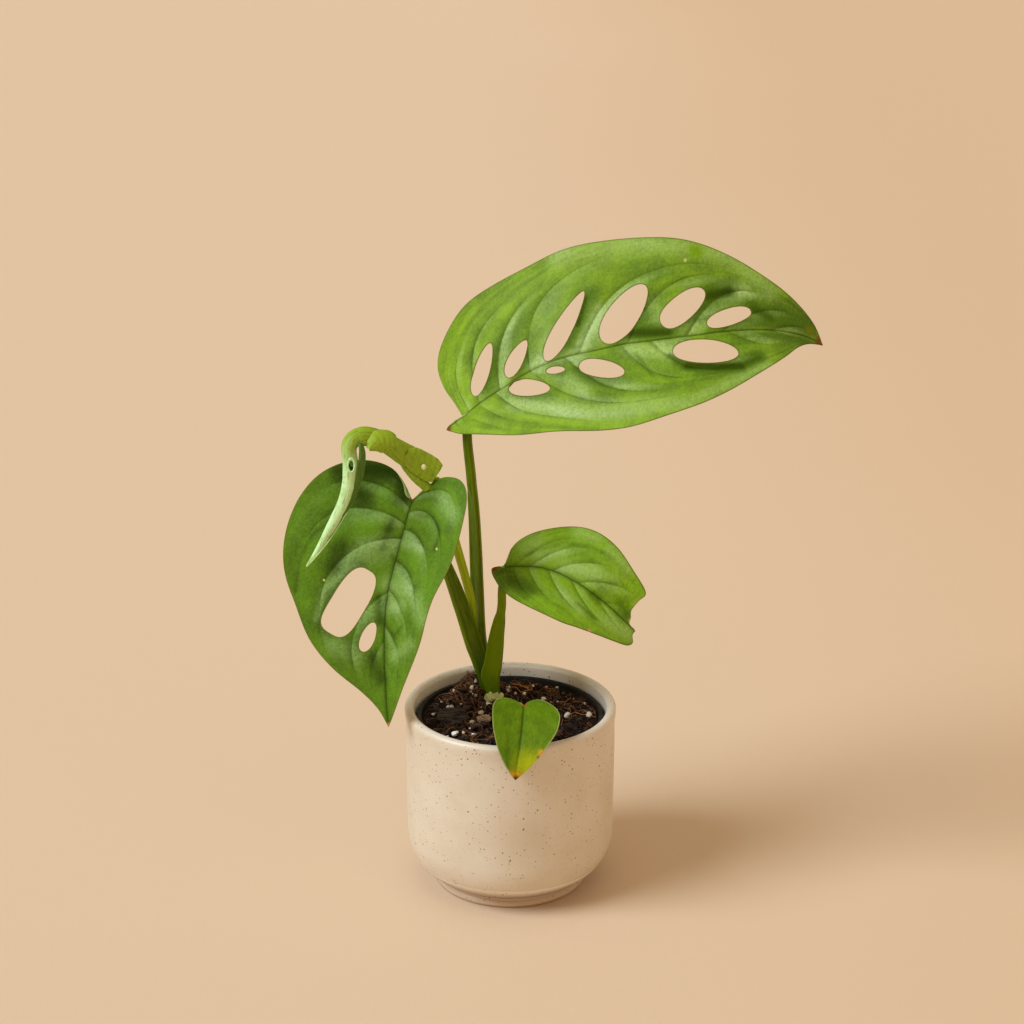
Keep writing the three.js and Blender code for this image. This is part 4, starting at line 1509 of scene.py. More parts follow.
    def make_perlite(self) -> None:
        """Strews the white perlite: the grains seen in front, and chance ones elsewhere."""
        rng = np.random.default_rng(self.seed + 3)
        x, y = self.scattered(self.grains, rng, 0)
        kept = (y > PERLITE_FRONT) | (rng.random(self.grains) < PERLITE_SHARE)
        x, y = x[kept] * self.perlite_reach, y[kept] * self.perlite_reach
        sizes = rng.gamma(2.6, 0.2, len(x)).clip(0.25, 1.2)
        tones = rng.beta(3, 1.4, len(x))
        seen = np.array(SEEN_PERLITE).T
        x, y, sizes, tones = (np.r_[both] for both in zip(seen, (x, y, sizes, tones)))
        sizes = sizes * PERLITE_SCALE
        grains = self.lumps("perlite_grains", rng, x, y, sizes, tones, 0.6, -0.5)
        perlite = Toned("perlite", tone(170, 146, 112), tone(244, 240, 228), 1200, 0.85, 0.3)
        wear(grains, perlite.make())
        hand_over(grains, Slot.MIX)

    def build(self) -> None:
        """Makes the mix and all that lies on it."""
        self.make_body()
        self.make_fibres()
        self.make_crumbs()
        self.make_perlite()


@dataclass
class Chip:
    """A flat chip pressed into the mix: a ball squeezed to an outline. Sizes are in mm."""

    name: str
    node: str
    slot: Slot
    finish: ChipWood
    place: Point
    outline: tuple[Pair, ...]
    turn: float
    tilt: float
    thickness: float
    seed: int
    fullness: float = 0.45
    waves: int = 12
    roughness: float = 0.16

    def build(self) -> None:
        """Makes the chip."""
        ball = {"segments": 72, "ring_count": 28, "radius": 1}
        chip = added(self.name, bpy.ops.mesh.primitive_uv_sphere_add, **ball)
        shape = corners(chip)
        angle = np.arctan2(shape[:, 1], shape[:, 0])
        knots = np.array(self.outline)
        bearings = np.arctan2(knots[:, 1], knots[:, 0])
        order = np.argsort(bearings)
        reach = np.interp(angle, bearings[order], np.hypot(*knots[order].T), period=math.tau)
        level = np.clip(np.hypot(shape[:, 0], shape[:, 1]), 0, 1)
        rng = np.random.default_rng(self.seed)
        rough = np.zeros(len(shape))
        for _ in range(self.waves):
            way = rng.normal(0, 1, 3) * rng.uniform(2, 9)
            rough += np.sin(shape @ way + rng.uniform(0, 6)) / self.waves
        radius = level**self.fullness * reach * (1 + rough * self.roughness)
        height = power(shape[:, 2], self.fullness) * self.thickness / 2 + rough * 0.5
        x, y = radius * np.cos(angle), radius * np.sin(angle)
        y, height = rotated(y, height, self.tilt)
        x, y = rotated(x, y, self.turn)
        set_corners(chip, np.stack([x, y, height], -1) + np.array(self.place))
        smooth(chip, 60)
        wear(chip, self.finish.make())
        hand_over(chip, self.slot, self.node)


@dataclass(frozen=True)
class Hole:
    """A hole in a blade, in mm on the flat leaf.

    Attributes:
        x: its middle across.
        y: its middle along.
        length: its long axis.
        width: its short axis.
        turn: its turn from the midrib, in degrees.
        taper: how much wider its inner end is.
        squareness: under 1 it is fuller than an ellipse.
    """

    x: float
    y: float
    length: float
    width: float
    turn: float
    taper: float
    squareness: float

    def local(self, x: np.ndarray, y: np.ndarray) -> tuple[np.ndarray, np.ndarray]:
        """Gives places along and across the hole."""
        across, along = rotated(x - self.x, y - self.y, self.turn)
        return along, across

    def covers(self, x: np.ndarray, y: np.ndarray) -> np.ndarray:
        """Tells which points of the flat leaf lie in the hole.

        Args:
            x: their places across the leaf.
            y: their places along it.

        Returns:
            True for each point inside.
        """
        along, across = self.local(x, y)
        share = np.clip(np.abs(along) / (self.length / 2), 0, 1) ** (1 / self.squareness)
        half = self.width / 2 * np.sqrt(1 - share**2) ** self.squareness
        return np.abs(across) < half * (1 - self.taper * share * np.sign(along))

    def outline(self, steps: int = 720) -> np.ndarray:
        """Draws the hole's edge on the flat leaf.

        Args:
            steps: how many points it has.

        Returns:
            The points, one in each row.
        """
        angle = np.linspace(0, math.tau, steps, endpoint=False)
        c, s = np.cos(angle), np.sin(angle)
        along = self.length / 2 * power(c, self.squareness)
        across = self.width / 2 * power(s, self.squareness) * (1 - self.taper * c)
        sine, cosine = math.sin(math.radians(self.turn)), math.cos(math.radians(self.turn))
        x = self.x + along * sine + across * cosine
        y = self.y + along * cosine - across * sine
        return np.stack([x, y], -1)


BEND_STEPS = 40  # the steps in which a blade's bend is summed up
VEIN_GAP = 0.012  # the least share of a blade's length between two side veins
COLUMN_POWER = 1.2  # above 1, the sheet's columns lie closer at the midrib
MIDRIB_POWER = 1.6  # above 1, its rows lie closer at the base, along the midrib
MARGIN_POWER = 1.15  # the same along the margins
ROW_ARCH = 0.26  # how far its rows arch to the base, beside the half's width
HOLE_SHADE = 3.6  # how far a hole's shade reaches, in mm
GROOVE = (0.3, 1.1)  # the depth and width of the groove on the midrib, in mm
RIB_WIDTH = 1.2  # the width of the midrib below, in mm
RIDGE = (0.2, 0.7)  # the height and width of a side vein below, in mm
SHADE_LIFT, DIP_DEPTH, CROWN_LIFT = 0.8, 0.4, 0.35  # how far each moves the face, in mm


@dataclass
class Blade:
    """A grown leaf's blade: a bent, quilted sheet with holes. Sizes are in mm and degrees.

    Attributes:
        name: the piece's name.
        node: the CAD node that it stands for.
        skin: its finish.
        base: where the blade meets its stalk.
        heading: the way that its midrib runs.
        facing: the way that its face looks.
        length: the midrib's reach.
        bow: how far it rises at its base and droops at its tip, and the droop's power.
        fold: how steeply the halves fold up from the midrib, and the fold's softness.
        thickness: the sheet's thickness.
        rib: how far the midrib stands out below.
        quilt: the relief between the side veins.
        wave: the margin's wave: height, length and phase.
        midrib: the midrib on the flat leaf.
        margins: the two margins on the flat leaf.
        veins: for each half, where each side vein leaves the midrib, its lean and its sweep.
        holes: the holes.
        puckers: soft dips and crowns, each from one point of the flat leaf to another, with its
        width in mm and its strength: under 0 a dip with painted shade, over 0 a crown with
        painted light.
        cells: the sheet's squares across and along.
    """

    name: str
    node: str
    skin: LeafSkin
    base: Point
    heading: Point
    facing: Point
    length: float
    bow: tuple[float, float, float]
    fold: Pair
    thickness: float
    rib: float
    quilt: float
    wave: tuple[float, float, float]
    midrib: tuple[Pair, ...]
    margins: dict[Side, tuple[Pair, ...]]
    veins: dict[Side, tuple[tuple[float, float, float], ...]]
    holes: tuple[Hole, ...] = ()
    puckers: tuple[tuple[float, ...], ...] = ()
    cells: tuple[int, int] = (90, 120)

    def axes(self) -> tuple[np.ndarray, np.ndarray, np.ndarray]:
        """Gives the leaf's own axes: ahead, to its right and out of its face.

        Returns:
            Three directions of length 1.
        """
        ahead, facing = unit(self.heading), np.array(self.facing, float)
        up = unit(facing - ahead * (facing @ ahead))
        return ahead, np.cross(ahead, up), up

    def slope(self, y: np.ndarray) -> np.ndarray:
        """Gives the midrib's slope at a reach along it, in radians.

        Args:
            y: how far along the leaf, in mm.

        Returns:
            The slopes, under 0 where it runs down.
        """
        share = np.maximum(np.asarray(y, float) / self.length, 0)
        rise, droop, power = self.bow
        return np.radians(rise * (1 - 2 * share) - droop * share**power)

    def bend(self, x: np.ndarray, y: np.ndarray, lift: np.ndarray) -> np.ndarray:
        """Takes points of the flat leaf to their places in space.

        Args:
            x: their places across the flat leaf.
            y: their places along it.
            lift: how far they stand off its face.

        Returns:
            The places.
        """
        ahead, right, up = self.axes()
        middles = (np.arange(BEND_STEPS) + 0.5) / BEND_STEPS
        slopes = self.slope(y[:, None] * middles)
        forward, rise = np.cos(slopes).mean(1) * y, np.sin(slopes).mean(1) * y
        here = self.slope(y)
        off = x - np.interp(y, [p[1] for p in self.midrib], [p[0] for p in self.midrib])
        steep, softness = self.fold
        height = lift + steep * (np.hypot(off, softness) - softness)
        along, out = forward - np.sin(here) * height, rise + np.cos(here) * height
        return np.array(self.base) + along[:, None] * ahead + x[:, None] * right + out[:, None] * up

    def vein_phase(
        self,
        side: Side,
        s: np.ndarray,
        t: np.ndarray,
        width: np.ndarray,
    ) -> tuple[np.ndarray, np.ndarray]:
        """Numbers the veins, so that each lies where the number is whole.

        Args:
            side: the half of the leaf.
            s: the share of the way from the midrib to the margin.
            t: the share of the way from the base to the tip.
            width: the half's width there.

        Returns:
            The running number and the distance between two veins in mm.
        """
        table = np.array(self.veins[side])
        table = np.vstack([table[0] - [0.1, 0, 0], table, table[-1] + [0.1, 0, 0]])
        start, lean, sweep = table.T[:, :, None]
        courses = start + lean * s + sweep * s**6
        step = np.arange(len(table))[:, None] * VEIN_GAP
        courses = np.maximum.accumulate(courses - step, axis=0) + step
        index = np.clip((courses <= t).sum(0) - 1, 0, len(table) - 2)
        every = np.arange(len(s))
        low, high = courses[index, every], courses[index + 1, every]
        share = np.clip((t - low) / (high - low), 0, 1)
        rate = (lean + 6 * sweep * s**5)[index, every] * self.length / np.maximum(width, 4)
        return index + share, (high - low) * self.length / np.hypot(1, rate)

    def flat(self, across: np.ndarray, along: np.ndarray) -> dict[str, np.ndarray]:
        """Lays the sheet out on the flat leaf.

        Args:
            across: each vertex's place across the sheet, from -1 to 1.
            along: its place along the sheet, from -1 to 1.

        Returns:
            x, y and the numbers that the shape and the skin need.
        """
        t, s = (along + 1) / 2, np.abs(across) ** COLUMN_POWER
        start = Spline(self.midrib).at(t**MIDRIB_POWER)
        left, right = (Spline(self.margins[side]).at(t**MARGIN_POWER) for side in Side)
        end = np.where(across[:, None] < 0, left, right)
        width = np.linalg.norm(end - start, axis=1)
        x = start[:, 0] + (end[:, 0] - start[:, 0]) * s
        y = start[:, 1] + (end[:, 1] - start[:, 1]) * s - ROW_ARCH * width * s * (1 - s)
        phase, pitch = np.zeros_like(s), np.zeros_like(s)
        for side in Side:
            here = across < 0 if side is Side.LEFT else across >= 0
            phase[here], pitch[here] = self.vein_phase(side, s[here], t[here], width[here])
        named = {"x": x, "y": y, "s": s, "t": t, "phase": phase, "pitch": pitch}
        return named | {"rib": np.sign(across) * s * width, "margin": (1 - s) * width}

    def pierce(self, piece: bpy.types.Object, flat: dict[str, np.ndarray]) -> np.ndarray:
        """Finds the faces that the holes take away and fits the rest to the holes' edges.

        Args:
            piece: the sheet.
            flat: its layout, whose x, y, margin and painted shade are changed.

        Returns:
            True for each face that goes.
        """
        faces = quads(piece)
        x, y = flat["x"], flat["y"]
        gone = np.zeros(len(faces), bool)
        for hole in self.holes:
            lost = hole.covers(x[faces].mean(1), y[faces].mean(1))
            touched = np.zeros(len(x), bool)
            touched[faces[lost]] = True
            kept = np.zeros(len(x), bool)
            kept[faces[~lost]] = True
            edge = hole.outline()
            near = np.flatnonzero(np.hypot(x - hole.x, y - hole.y) < hole.length)
            gaps = np.hypot(x[near, None] - edge[:, 0], y[near, None] - edge[:, 1])
            closest, best = gaps.argmin(1), gaps.min(1)
            rim = (touched & kept)[near]
            x[near[rim]], y[near[rim]] = edge[closest[rim]].T
            best[rim] = 0
            flat["margin"][near] = np.minimum(flat["margin"][near], best)
            ahead = hole.local(x[near], y[near])[1] / (hole.width / 2)
            # painted shade on one side of each hole, fading away from its edge
            shade = np.exp(-best / HOLE_SHADE) * ease(ahead, -0.3, 1.1) * min(1, hole.width / 8)
            flat["painted_shade"][near] = np.maximum(flat["painted_shade"][near], shade)
            gone |= lost
        return gone

    def puckered(self, x: np.ndarray, y: np.ndarray) -> tuple[np.ndarray, np.ndarray]:
        """Finds how deep in a dip and how high on a crown points lie.

        Args:
            x: their places across the flat leaf.
            y: their places along it.

        Returns:
            The strength of the dips and of the crowns.
        """
        dip, crown = np.zeros_like(x), np.zeros_like(x)
        for from_x, from_y, to_x, to_y, width, strength in self.puckers:
            run_x, run_y = to_x - from_x, to_y - from_y
            share = ((x - from_x) * run_x + (y - from_y) * run_y) / (run_x**2 + run_y**2)
            share = np.clip(share, 0, 1)
            away = np.hypot(x - from_x - share * run_x, y - from_y - share * run_y)
            mark = abs(strength) * bump(away, width)
            if strength < 0:
                dip = np.maximum(dip, mark)
            else:
                crown = np.maximum(crown, mark)
        return dip, crown

    def build(self) -> None:
        """Makes the blade: bends the sheet, opens its holes and gives it thickness."""
        piece, across, along = sheet(self.name, *self.cells)
        flat = self.flat(across, along)
        flat["painted_shade"] = np.zeros_like(across)
        gone = self.pierce(piece, flat)
        dip, flat["crown_painted_light"] = self.puckered(flat["x"], flat["y"])
        s, t = flat["s"], flat["t"]
        height, length, phase = self.wave
        side = np.sign(across)
        wave = height * s**2 * np.sin(math.tau * flat["y"] / length + phase + side)
        crown = np.abs(np.sin(math.pi * flat["phase"])) ** 0.75 - 0.55
        depth = np.clip((flat["pitch"] - 3.5) / 9, 0, 1) * ease(s, 0, 0.2) * ease(1 - s, 0.02, 0.5)
        calm = np.sqrt(np.sin(math.pi * np.clip(t, 0, 1)))
        groove = GROOVE[0] * bump(flat["rib"], GROOVE[1])
        lift = calm * (wave + self.quilt * depth * crown - groove)
        # the painted shade lifts the face by the holes, the dips sink it and the crowns raise it;
        # then the dips join the painted shade
        lift += SHADE_LIFT * flat["painted_shade"] - DIP_DEPTH * dip + CROWN_LIFT * flat["crown_painted_light"]
        flat["painted_shade"] = np.maximum(0.7 * flat["painted_shade"], dip)
        set_corners(piece, self.bend(flat["x"], flat["y"], lift + self.thickness / 2))
        keep(piece, "plan", np.stack([flat["x"], flat["y"], np.zeros_like(s)], -1))
        for name in ("phase", "pitch", "rib", "margin", "painted_shade", "crown_painted_light"):
            keep(piece, name, flat[name])
        keep(piece, "side", s)
        keep(piece, "reach", t)
        away = np.abs(flat["phase"] - np.round(flat["phase"])) * flat["pitch"]
        stout = self.thickness * (0.5 + 0.5 * ease(flat["margin"], 0, 3))
        grown = ease(flat["y"], 4, 13) * (1 - 0.7 * t)
        stout += self.rib * grown * bump(flat["rib"], RIB_WIDTH)
        stout += RIDGE[0] * calm * bump(away, RIDGE[1]) * (1 - s)
        most = float(stout.max())
        group = piece.vertex_groups.new(name="stout")
        for index, share in enumerate((stout / most).tolist()):
            group.add([index], share, "REPLACE")
        drop_faces(piece, gone)
        weld(piece)
        wear(piece, self.skin.upper(), self.skin.lower(), self.skin.rim())
        walls = {"thickness": most * MM, "offset": -1, "vertex_group": "stout"}
        modify(piece, "SOLIDIFY", material_offset=1, material_offset_rim=2, **walls)
        smooth(piece, 55)
        hand_over(piece, Slot.MATURE, self.node)


@dataclass
class Stalk:
    """A leaf stalk with its sheath: a sheet swept round a route. Sizes are in mm.

    Attributes:
        name: the piece's name.
        node: the CAD node that it stands for.
        skin: its finish.
        route: its middle line.
        opens: the side that its sheath opens to.
        profile: share of the length, width, depth and groove.
        leaf: the blade that it carries.
        tuck: how far it runs on under the blade.
        drop: how far its end lies under the blade.
        lip: how far the sheath's edges stand up.
        cells: the sheet's squares round and along.
    """

    name: str
    node: str
    skin: StalkSkin
    route: tuple[Point, ...]
    opens: Point
    profile: tuple[tuple[float, float, float, float], ...]
    leaf: Blade | None = None
    tuck: float = 0
    drop: float = 0
    lip: float = 0.5
    cells: tuple[int, int] = (48, 150)

    def whole_route(self) -> Spline:
        """Adds the stretch under the blade to the route.

        Returns:
            The route.
        """
        if self.leaf is None:
            return Spline(self.route, True)
        ahead, _, up = self.leaf.axes()
        angle = float(self.leaf.slope(np.array(0.0)))
        along = self.tuck * math.cos(angle) + self.drop * math.sin(angle)
        above = self.tuck * math.sin(angle) - self.drop * math.cos(angle)
        end = np.array(self.leaf.base) + along * ahead + above * up
        return Spline((*self.route, tuple(end.tolist())), True)

    def build(self) -> None:
        """Makes the stalk."""
        piece, across, along = sheet(self.name, *self.cells)
        share = (along + 1) / 2
        width, depth, groove = between(self.profile, share)
        c, q = np.cos(math.pi * across), np.sin(math.pi * across)
        opened = np.clip(q, 0, None) > 0
        lip = self.lip * np.minimum(1, groove / 1.5) * bump(np.abs(c) - 0.86, 0.12)
        front = depth / 2 * q - np.where(opened, groove * (1 - c**2) - lip, 0)
        closed = np.where(np.abs(along) > 0.9999, 0, 1)
        section = (width / 2 * c * closed, front * closed)
        swept(piece, share, self.whole_route(), self.opens, section)
        for name, values in (("across", c), ("front", q), ("share", share)):
            keep(piece, name, values)
        weld(piece)
        smooth(piece, 60)
        wear(piece, self.skin.make())
        hand_over(piece, Slot.PETIOLE, self.node)


@dataclass(frozen=True)
class Wrap:
    """One stretch of the rolled leaf, a sheet wound on itself.

    Attributes:
        start: the share of the roll's length where it begins.
        end: the share where it ends.
        turns: how many times it winds round.
        scale: its thickness beside the other stretches.
        lobe: how much its far end is rounded, as a share of the roll's length.
        slant: how much its ends run along the roll, as such a share.
        cells: the sheet's squares round and along.
    """

    start: float
    end: float
    turns: float
    scale: float
    lobe: float = 0
    slant: float = 0
    cells: tuple[int, int] = (72, 72)


@dataclass(frozen=True)
class Lap:
    """A loose edge of the rolled leaf: a band bent along a route. Sizes are in mm.

    Attributes:
        route: its middle line.
        opens: the side that its outside looks to.
        widths: its width at even steps along the route.
        hollow: how far its edges lie behind its middle.
        inner: how much of the leaf's darker inside it shows.
        paleness: where its colour lies between the leaf's green, 0, and its pale end, 1.
    """

    route: tuple[Point, ...]
    opens: Point
    widths: tuple[float, ...]
    hollow: float = 0.8
    inner: float = 0.0
    paleness: float = 0.2


@dataclass
class RolledLeaf:
    """The new leaf, still rolled up: four wound stretches that reach into each other.

    Attributes:
        route: its middle line, in mm.
        opens: the side that its turns are counted from.
        stops: share of the length, width, depth and the turn of its outer edge.
        step: how much tighter each turn is, as a share.
        wall: the leaf's thickness, in mm.
        length: the roll's length, in mm.
        uneven: how uneven its turns are, as a share of their radius.
        seed: the seed of that unevenness.
        wraps: its stretches.
        laps: its loose edges.
        eye: the curl's opening as the front sees it: its middle, half width and half height.
        eye_depth: where the curl's edge lies, from front to back.
        egg: the middle of the white speck on its flap.
        egg_radii: the speck's radii.
    """

    route: tuple[Point, ...]
    opens: Point
    stops: tuple[tuple[float, float, float, float], ...]
    step: float = 0.28
    wall: float = 0.4
    length: float = 118
    uneven: float = 0.012
    seed: int = 31
    wraps: tuple[Wrap, ...] = (
        Wrap(0.0, 0.2, 1.15, 0.96, slant=0.012),
        Wrap(0.15, 0.4, 1.25, 1.12, lobe=0.03, slant=-0.012),
        Wrap(0.32, 0.57, 1.3, 1.0, lobe=-0.02, slant=0.02, cells=(84, 100)),
        Wrap(0.55, 1.0, 1.5, 0.97, slant=0.03, cells=(84, 160)),
    )
    laps: tuple[Lap, ...] = ()
    eye: tuple[float, float, float, float] = (-67.7, 202.8, 1.3, 2.7)
    eye_depth: float = -15.2
    egg: Point = (-37.3, -3.8, 198.1)
    egg_radii: Point = (1.1, 0.8, 1.3)

    def make_wrap(self, number: int, wrap: Wrap) -> bpy.types.Object:
        """Winds one stretch.

        Args:
            number: the stretch's number, from the roll's start.
            wrap: the stretch.

        Returns:
            The piece.
        """
        piece, across, along = sheet(f"wrap_{number}", *wrap.cells)
        v = (along + 1) / 2
        share = wrap.start + (wrap.end - wrap.start) * v
        share = share + wrap.slant * across * (0.5 - np.abs(v - 0.5))
        share = np.clip(share - wrap.lobe * across**2 * v**3, 0, 1)
        width, depth, turn = between(self.stops, share)
        rolled = (1 - across) / 2 * wrap.turns
        angle = np.radians(turn) - math.tau * rolled
        radius = wrap.scale * (1 - self.step * rolled)
        rng = np.random.default_rng(self.seed + number)
        for _ in range(7):
            a, b, c = rng.uniform(0.5, 2.5), rng.uniform(10, 60), rng.uniform(0, 6)
            radius = radius + self.uneven * np.sin(a * angle + b * share + c)
        section = (width / 2 * radius * np.cos(angle), depth / 2 * radius * np.sin(angle))
        swept(piece, share, Spline(self.route, True), self.opens, section)
        wound = rolled * ((width + depth) / 4 * math.tau)
        to_end = (1 - v) * (wrap.end - wrap.start) * self.length
        keep(piece, "plan", np.stack([wound, share * self.length, share * 0 + number * 9], -1))
        keep(piece, "share", share)
        keep(piece, "margin", np.minimum(wound, to_end))
        keep(piece, "inner", ease(rolled, 0.95, 1.2))
        return self.finish(piece)

    def make_lap(self, lap: Lap) -> bpy.types.Object:
        """Bends one loose edge.

        Args:
            lap: the loose edge.

        Returns:
            The piece.
        """
        piece, across, along = sheet("lap", 16, 60)
        share = (along + 1) / 2
        half = np.interp(share, np.linspace(0, 1, len(lap.widths)), lap.widths) / 2
        front = -lap.hollow * across**2 + 0.08 * np.sin(share * 40 + across * 3)
        swept(piece, share, Spline(lap.route), lap.opens, (half * across, front))
        keep(piece, "plan", np.stack([half * across, share * 40, share * 0 + 60], -1))
        keep(piece, "share", share * 0 + lap.paleness)
        keep(piece, "margin", half * (1 - np.abs(across)))
        keep(piece, "inner", share * 0 + lap.inner)
        return self.finish(piece)

    def finish(self, piece: bpy.types.Object) -> bpy.types.Object:
        """Opens the curl and gives the sheet its thickness.

        Args:
            piece: the bent sheet.

        Returns:
            The same piece.
        """
        middle_x, middle_z, half_x, half_z = self.eye
        middles = (corners(piece) / MM)[quads(piece)].mean(1)
        away = np.hypot((middles[:, 0] - middle_x) / half_x, (middles[:, 2] - middle_z) / half_z)
        drop_faces(piece, away < 1)
        weld(piece, 2e-5)
        modify(piece, "SOLIDIFY", thickness=self.wall * MM, offset=-1)
        smooth(piece, 50)
        return piece

    def make_curl(self) -> bpy.types.Object:
        """Rings the curl's opening with its rolled edge.

        Returns:
            The piece.
        """
        size = {"major_segments": 72, "minor_segments": 14, "major_radius": 1, "minor_radius": 0.3}
        piece = added("curl", bpy.ops.mesh.primitive_torus_add, **size)
        across, up, out = corners(piece).T
        middle_x, middle_z, half_x, half_z = self.eye
        far = np.hypot(across, up)
        turn = np.arctan2(up, across)
        stout = 1.5 + 0.6 * np.sin(turn + 0.6)
        x = middle_x + np.cos(turn) * (half_x + (far - 1) * stout + 0.1)
        z = middle_z + np.sin(turn) * (half_z + (far - 1) * stout + 0.1)
        y = self.eye_depth - out * stout * 1.5 + 0.5 * np.sin(turn)
        set_corners(piece, np.stack([x, y, z], -1))
        keep(piece, "plan", np.stack([turn * 3, far * 6, turn * 0 + 90], -1))
        for name, value in (("share", 0.55), ("margin", 2.0), ("inner", 0.0)):
            keep(piece, name, turn * 0 + value)
        smooth(piece, 60)
        return piece

    def make_egg(self) -> None:
        """Sets the white speck on the flap."""
        size = {"segments": 24, "ring_count": 14, "radius": 1}
        piece = added("leaf_speck", bpy.ops.mesh.primitive_uv_sphere_add, **size)
        set_corners(piece, corners(piece) * np.array(self.egg_radii) + np.array(self.egg))
        keep(piece, "tone", np.ones(len(piece.data.vertices)))
        smooth(piece)
        speck = Toned("speck", tone(196, 204, 120), tone(232, 236, 180), 900, 0.6, 0.1)
        wear(piece, speck.make())
        hand_over(piece, Slot.NEW)

    def build(self) -> None:
        """Makes the rolled leaf."""
        made = [self.make_wrap(number, wrap) for number, wrap in enumerate(self.wraps)]
        made += [self.make_lap(lap) for lap in self.laps] + [self.make_curl()]
        choose(*made)
        bpy.ops.object.join()
        rolled = made[0]
        rolled.name = rolled.data.name = "rolled_leaf"
        wear(rolled, RolledSkin().make())
        hand_over(rolled, Slot.NEW, "new_leaf_blade")
        self.make_egg()


@dataclass
class DrySheath:
    """The withered scale round the foot of the right leaf's stalk. Sizes are in mm."""

    centre: Pair = (-7.4, 16.2)
    radius: float = 4.75
    start: float = 208
    end: float = 344
    foot: float = 77.4
    heights: tuple[float, ...] = (2, 5.4, 7, 8, 7, 8, 6.6, 7.2, 5, 2.4)
    wall: float = 0.3

    def build(self) -> None:
        """Makes the scale."""
        piece, across, along = sheet("dry_scale", 90, 36)
        v, u = (along + 1) / 2, (across + 1) / 2
        angle = np.radians(self.start + (self.end - self.start) * u)
        tall = np.interp(u, np.linspace(0, 1, len(self.heights)), self.heights)
        tall = tall + 0.35 * np.sin(u * 70) * u * (1 - u) * 4
        crumple = 0.28 * np.sin(u * 31 + v * 2) + 0.16 * np.sin(u * 67 - v * 5)
        radius = self.radius + 0.4 + v * (0.35 + crumple) + 0.5 * v**3 * np.sin(u * 13)
        x, y = self.centre[0] + radius * np.cos(angle), self.centre[1] + radius * np.sin(angle)
        set_corners(piece, np.stack([x, y, self.foot + tall * v], -1))
        wear(piece, DryScale().make())
        modify(piece, "SOLIDIFY", thickness=self.wall * MM, offset=0)
        smooth(piece, 60)
        hand_over(piece, Slot.SCALE, "dry_sheath")


@dataclass
class Studio:
    """The seamless floor, the lights and the camera. Sizes are in metres and degrees."""

    floor_size: float = 12.0
    flat_reach: float = 3.4
    rise: float = 0.3
    paper: Colour = tone(224, 199, 169)
    # shade: the paper at the far right, darker with painted shade where the light falls off
    shade: Colour = tone(216, 187, 154)
    key_azimuth: float = 22.0
    key_height: float = 42.0
    key_spread: float = 30.0
    key_colour: Colour = (0.82, 0.915, 1.0, 1.0)
    key_strength: float = 2.64
    fill_place: Point = (1.6, -1.4, 1.1)
    fill_aim: Point = (0, 0, 0.15)
    fill_colour: Colour = (1.0, 0.985, 0.955, 1.0)
    fill_size: float = 1.6
    fill_power: float = 1.2
    sky: Colour = (1.0, 0.815, 0.61, 1.0)
    sky_strength: float = 0.54
    eye: Point = (0.0008, -0.9915, 0.535)
    pitch: float = 19.9
    lens: float = 85.0
    sensor: float = 36.0
    nearest: float = 0.01
    farthest: float = 60.0

    def lay_floor(self) -> None:
        """Lays the floor, which rises far behind on all sides."""
        piece, across, along = sheet("floor", 120, 120)
        x, y = across * self.floor_size / 2, along * self.floor_size / 2
        rise = self.rise * np.maximum(0, np.hypot(x, y) - self.flat_reach) ** 2
        set_corners(piece, np.stack([x, y, rise], -1) / MM)
        smooth(piece)
        s = Shader("paper_floor")
        place = s.place()
        cloud, grain = s.noise(place, 0.9, 2), s.noise(place, 900, 2)
        # painted shade: the paper darkens towards the right, where the light falls off
        painted_falloff = (s.axes(place)[0] + (cloud - 0.5) * 0.3).ease(-0.1, 0.45)
        s.relief(grain * 0.06)
        wear(piece, s.dress(s.mix(painted_falloff, self.paper, self.shade), 0.92))

    def hang_key(self) -> None:
        """Hangs the key light, a soft sun."""
        bpy.ops.object.light_add(type="SUN", location=(-1, -0.4, 1))
        key = bpy.context.object
        key.name = "key"
        key.data.energy, key.data.color = self.key_strength, self.key_colour[:3]
        key.data.angle = math.radians(self.key_spread)
        lean, turn = math.radians(90 - self.key_height), math.radians(self.key_azimuth)
        key.rotation_euler = (lean, 0, turn - math.pi / 2)

    def hang_fill(self) -> None:
        """Hangs the fill light, a soft square that looks at the plant."""
        bpy.ops.object.light_add(type="AREA", location=self.fill_place)
        fill = bpy.context.object
        fill.name = "fill"
        fill.data.size, fill.data.energy = self.fill_size, self.fill_power
        fill.data.color = self.fill_colour[:3]
        x, y, z = np.array(self.fill_aim) - np.array(self.fill_place)
        lean, turn = math.atan2(math.hypot(x, y), -z), math.atan2(y, x)
        fill.rotation_euler = (lean, 0, turn - math.pi / 2)
        fill.visible_camera = False

    def light_sky(self) -> None:
        """Lights the scene from all around with one plain colour."""
        world = bpy.data.worlds.new("studio_sky")
        bpy.context.scene.world = world
        world.use_nodes = True
        sky = world.node_tree.nodes["Background"]
        sky.inputs["Color"].default_value = self.sky
        sky.inputs["Strength"].default_value = self.sky_strength

    def set_camera(self) -> None:
        """Sets up the camera where the photo was taken from."""
        upright = math.radians(90 - self.pitch)
        bpy.ops.object.camera_add(location=self.eye, rotation=(upright, 0, 0))
        camera = bpy.context.object
        camera.data.lens, camera.data.sensor_width = self.lens, self.sensor
        camera.data.clip_start, camera.data.clip_end = self.nearest, self.farthest
        bpy.context.scene.camera = camera
        bpy.context.scene.view_settings.view_transform = "Standard"

    def build(self) -> None:
        """Sets up the whole studio."""
        self.lay_floor()
        self.hang_key()
        self.hang_fill()
        self.light_sky()
        self.set_camera()


BROWN = tone(112, 72, 34)
TAN = tone(186, 146, 84)

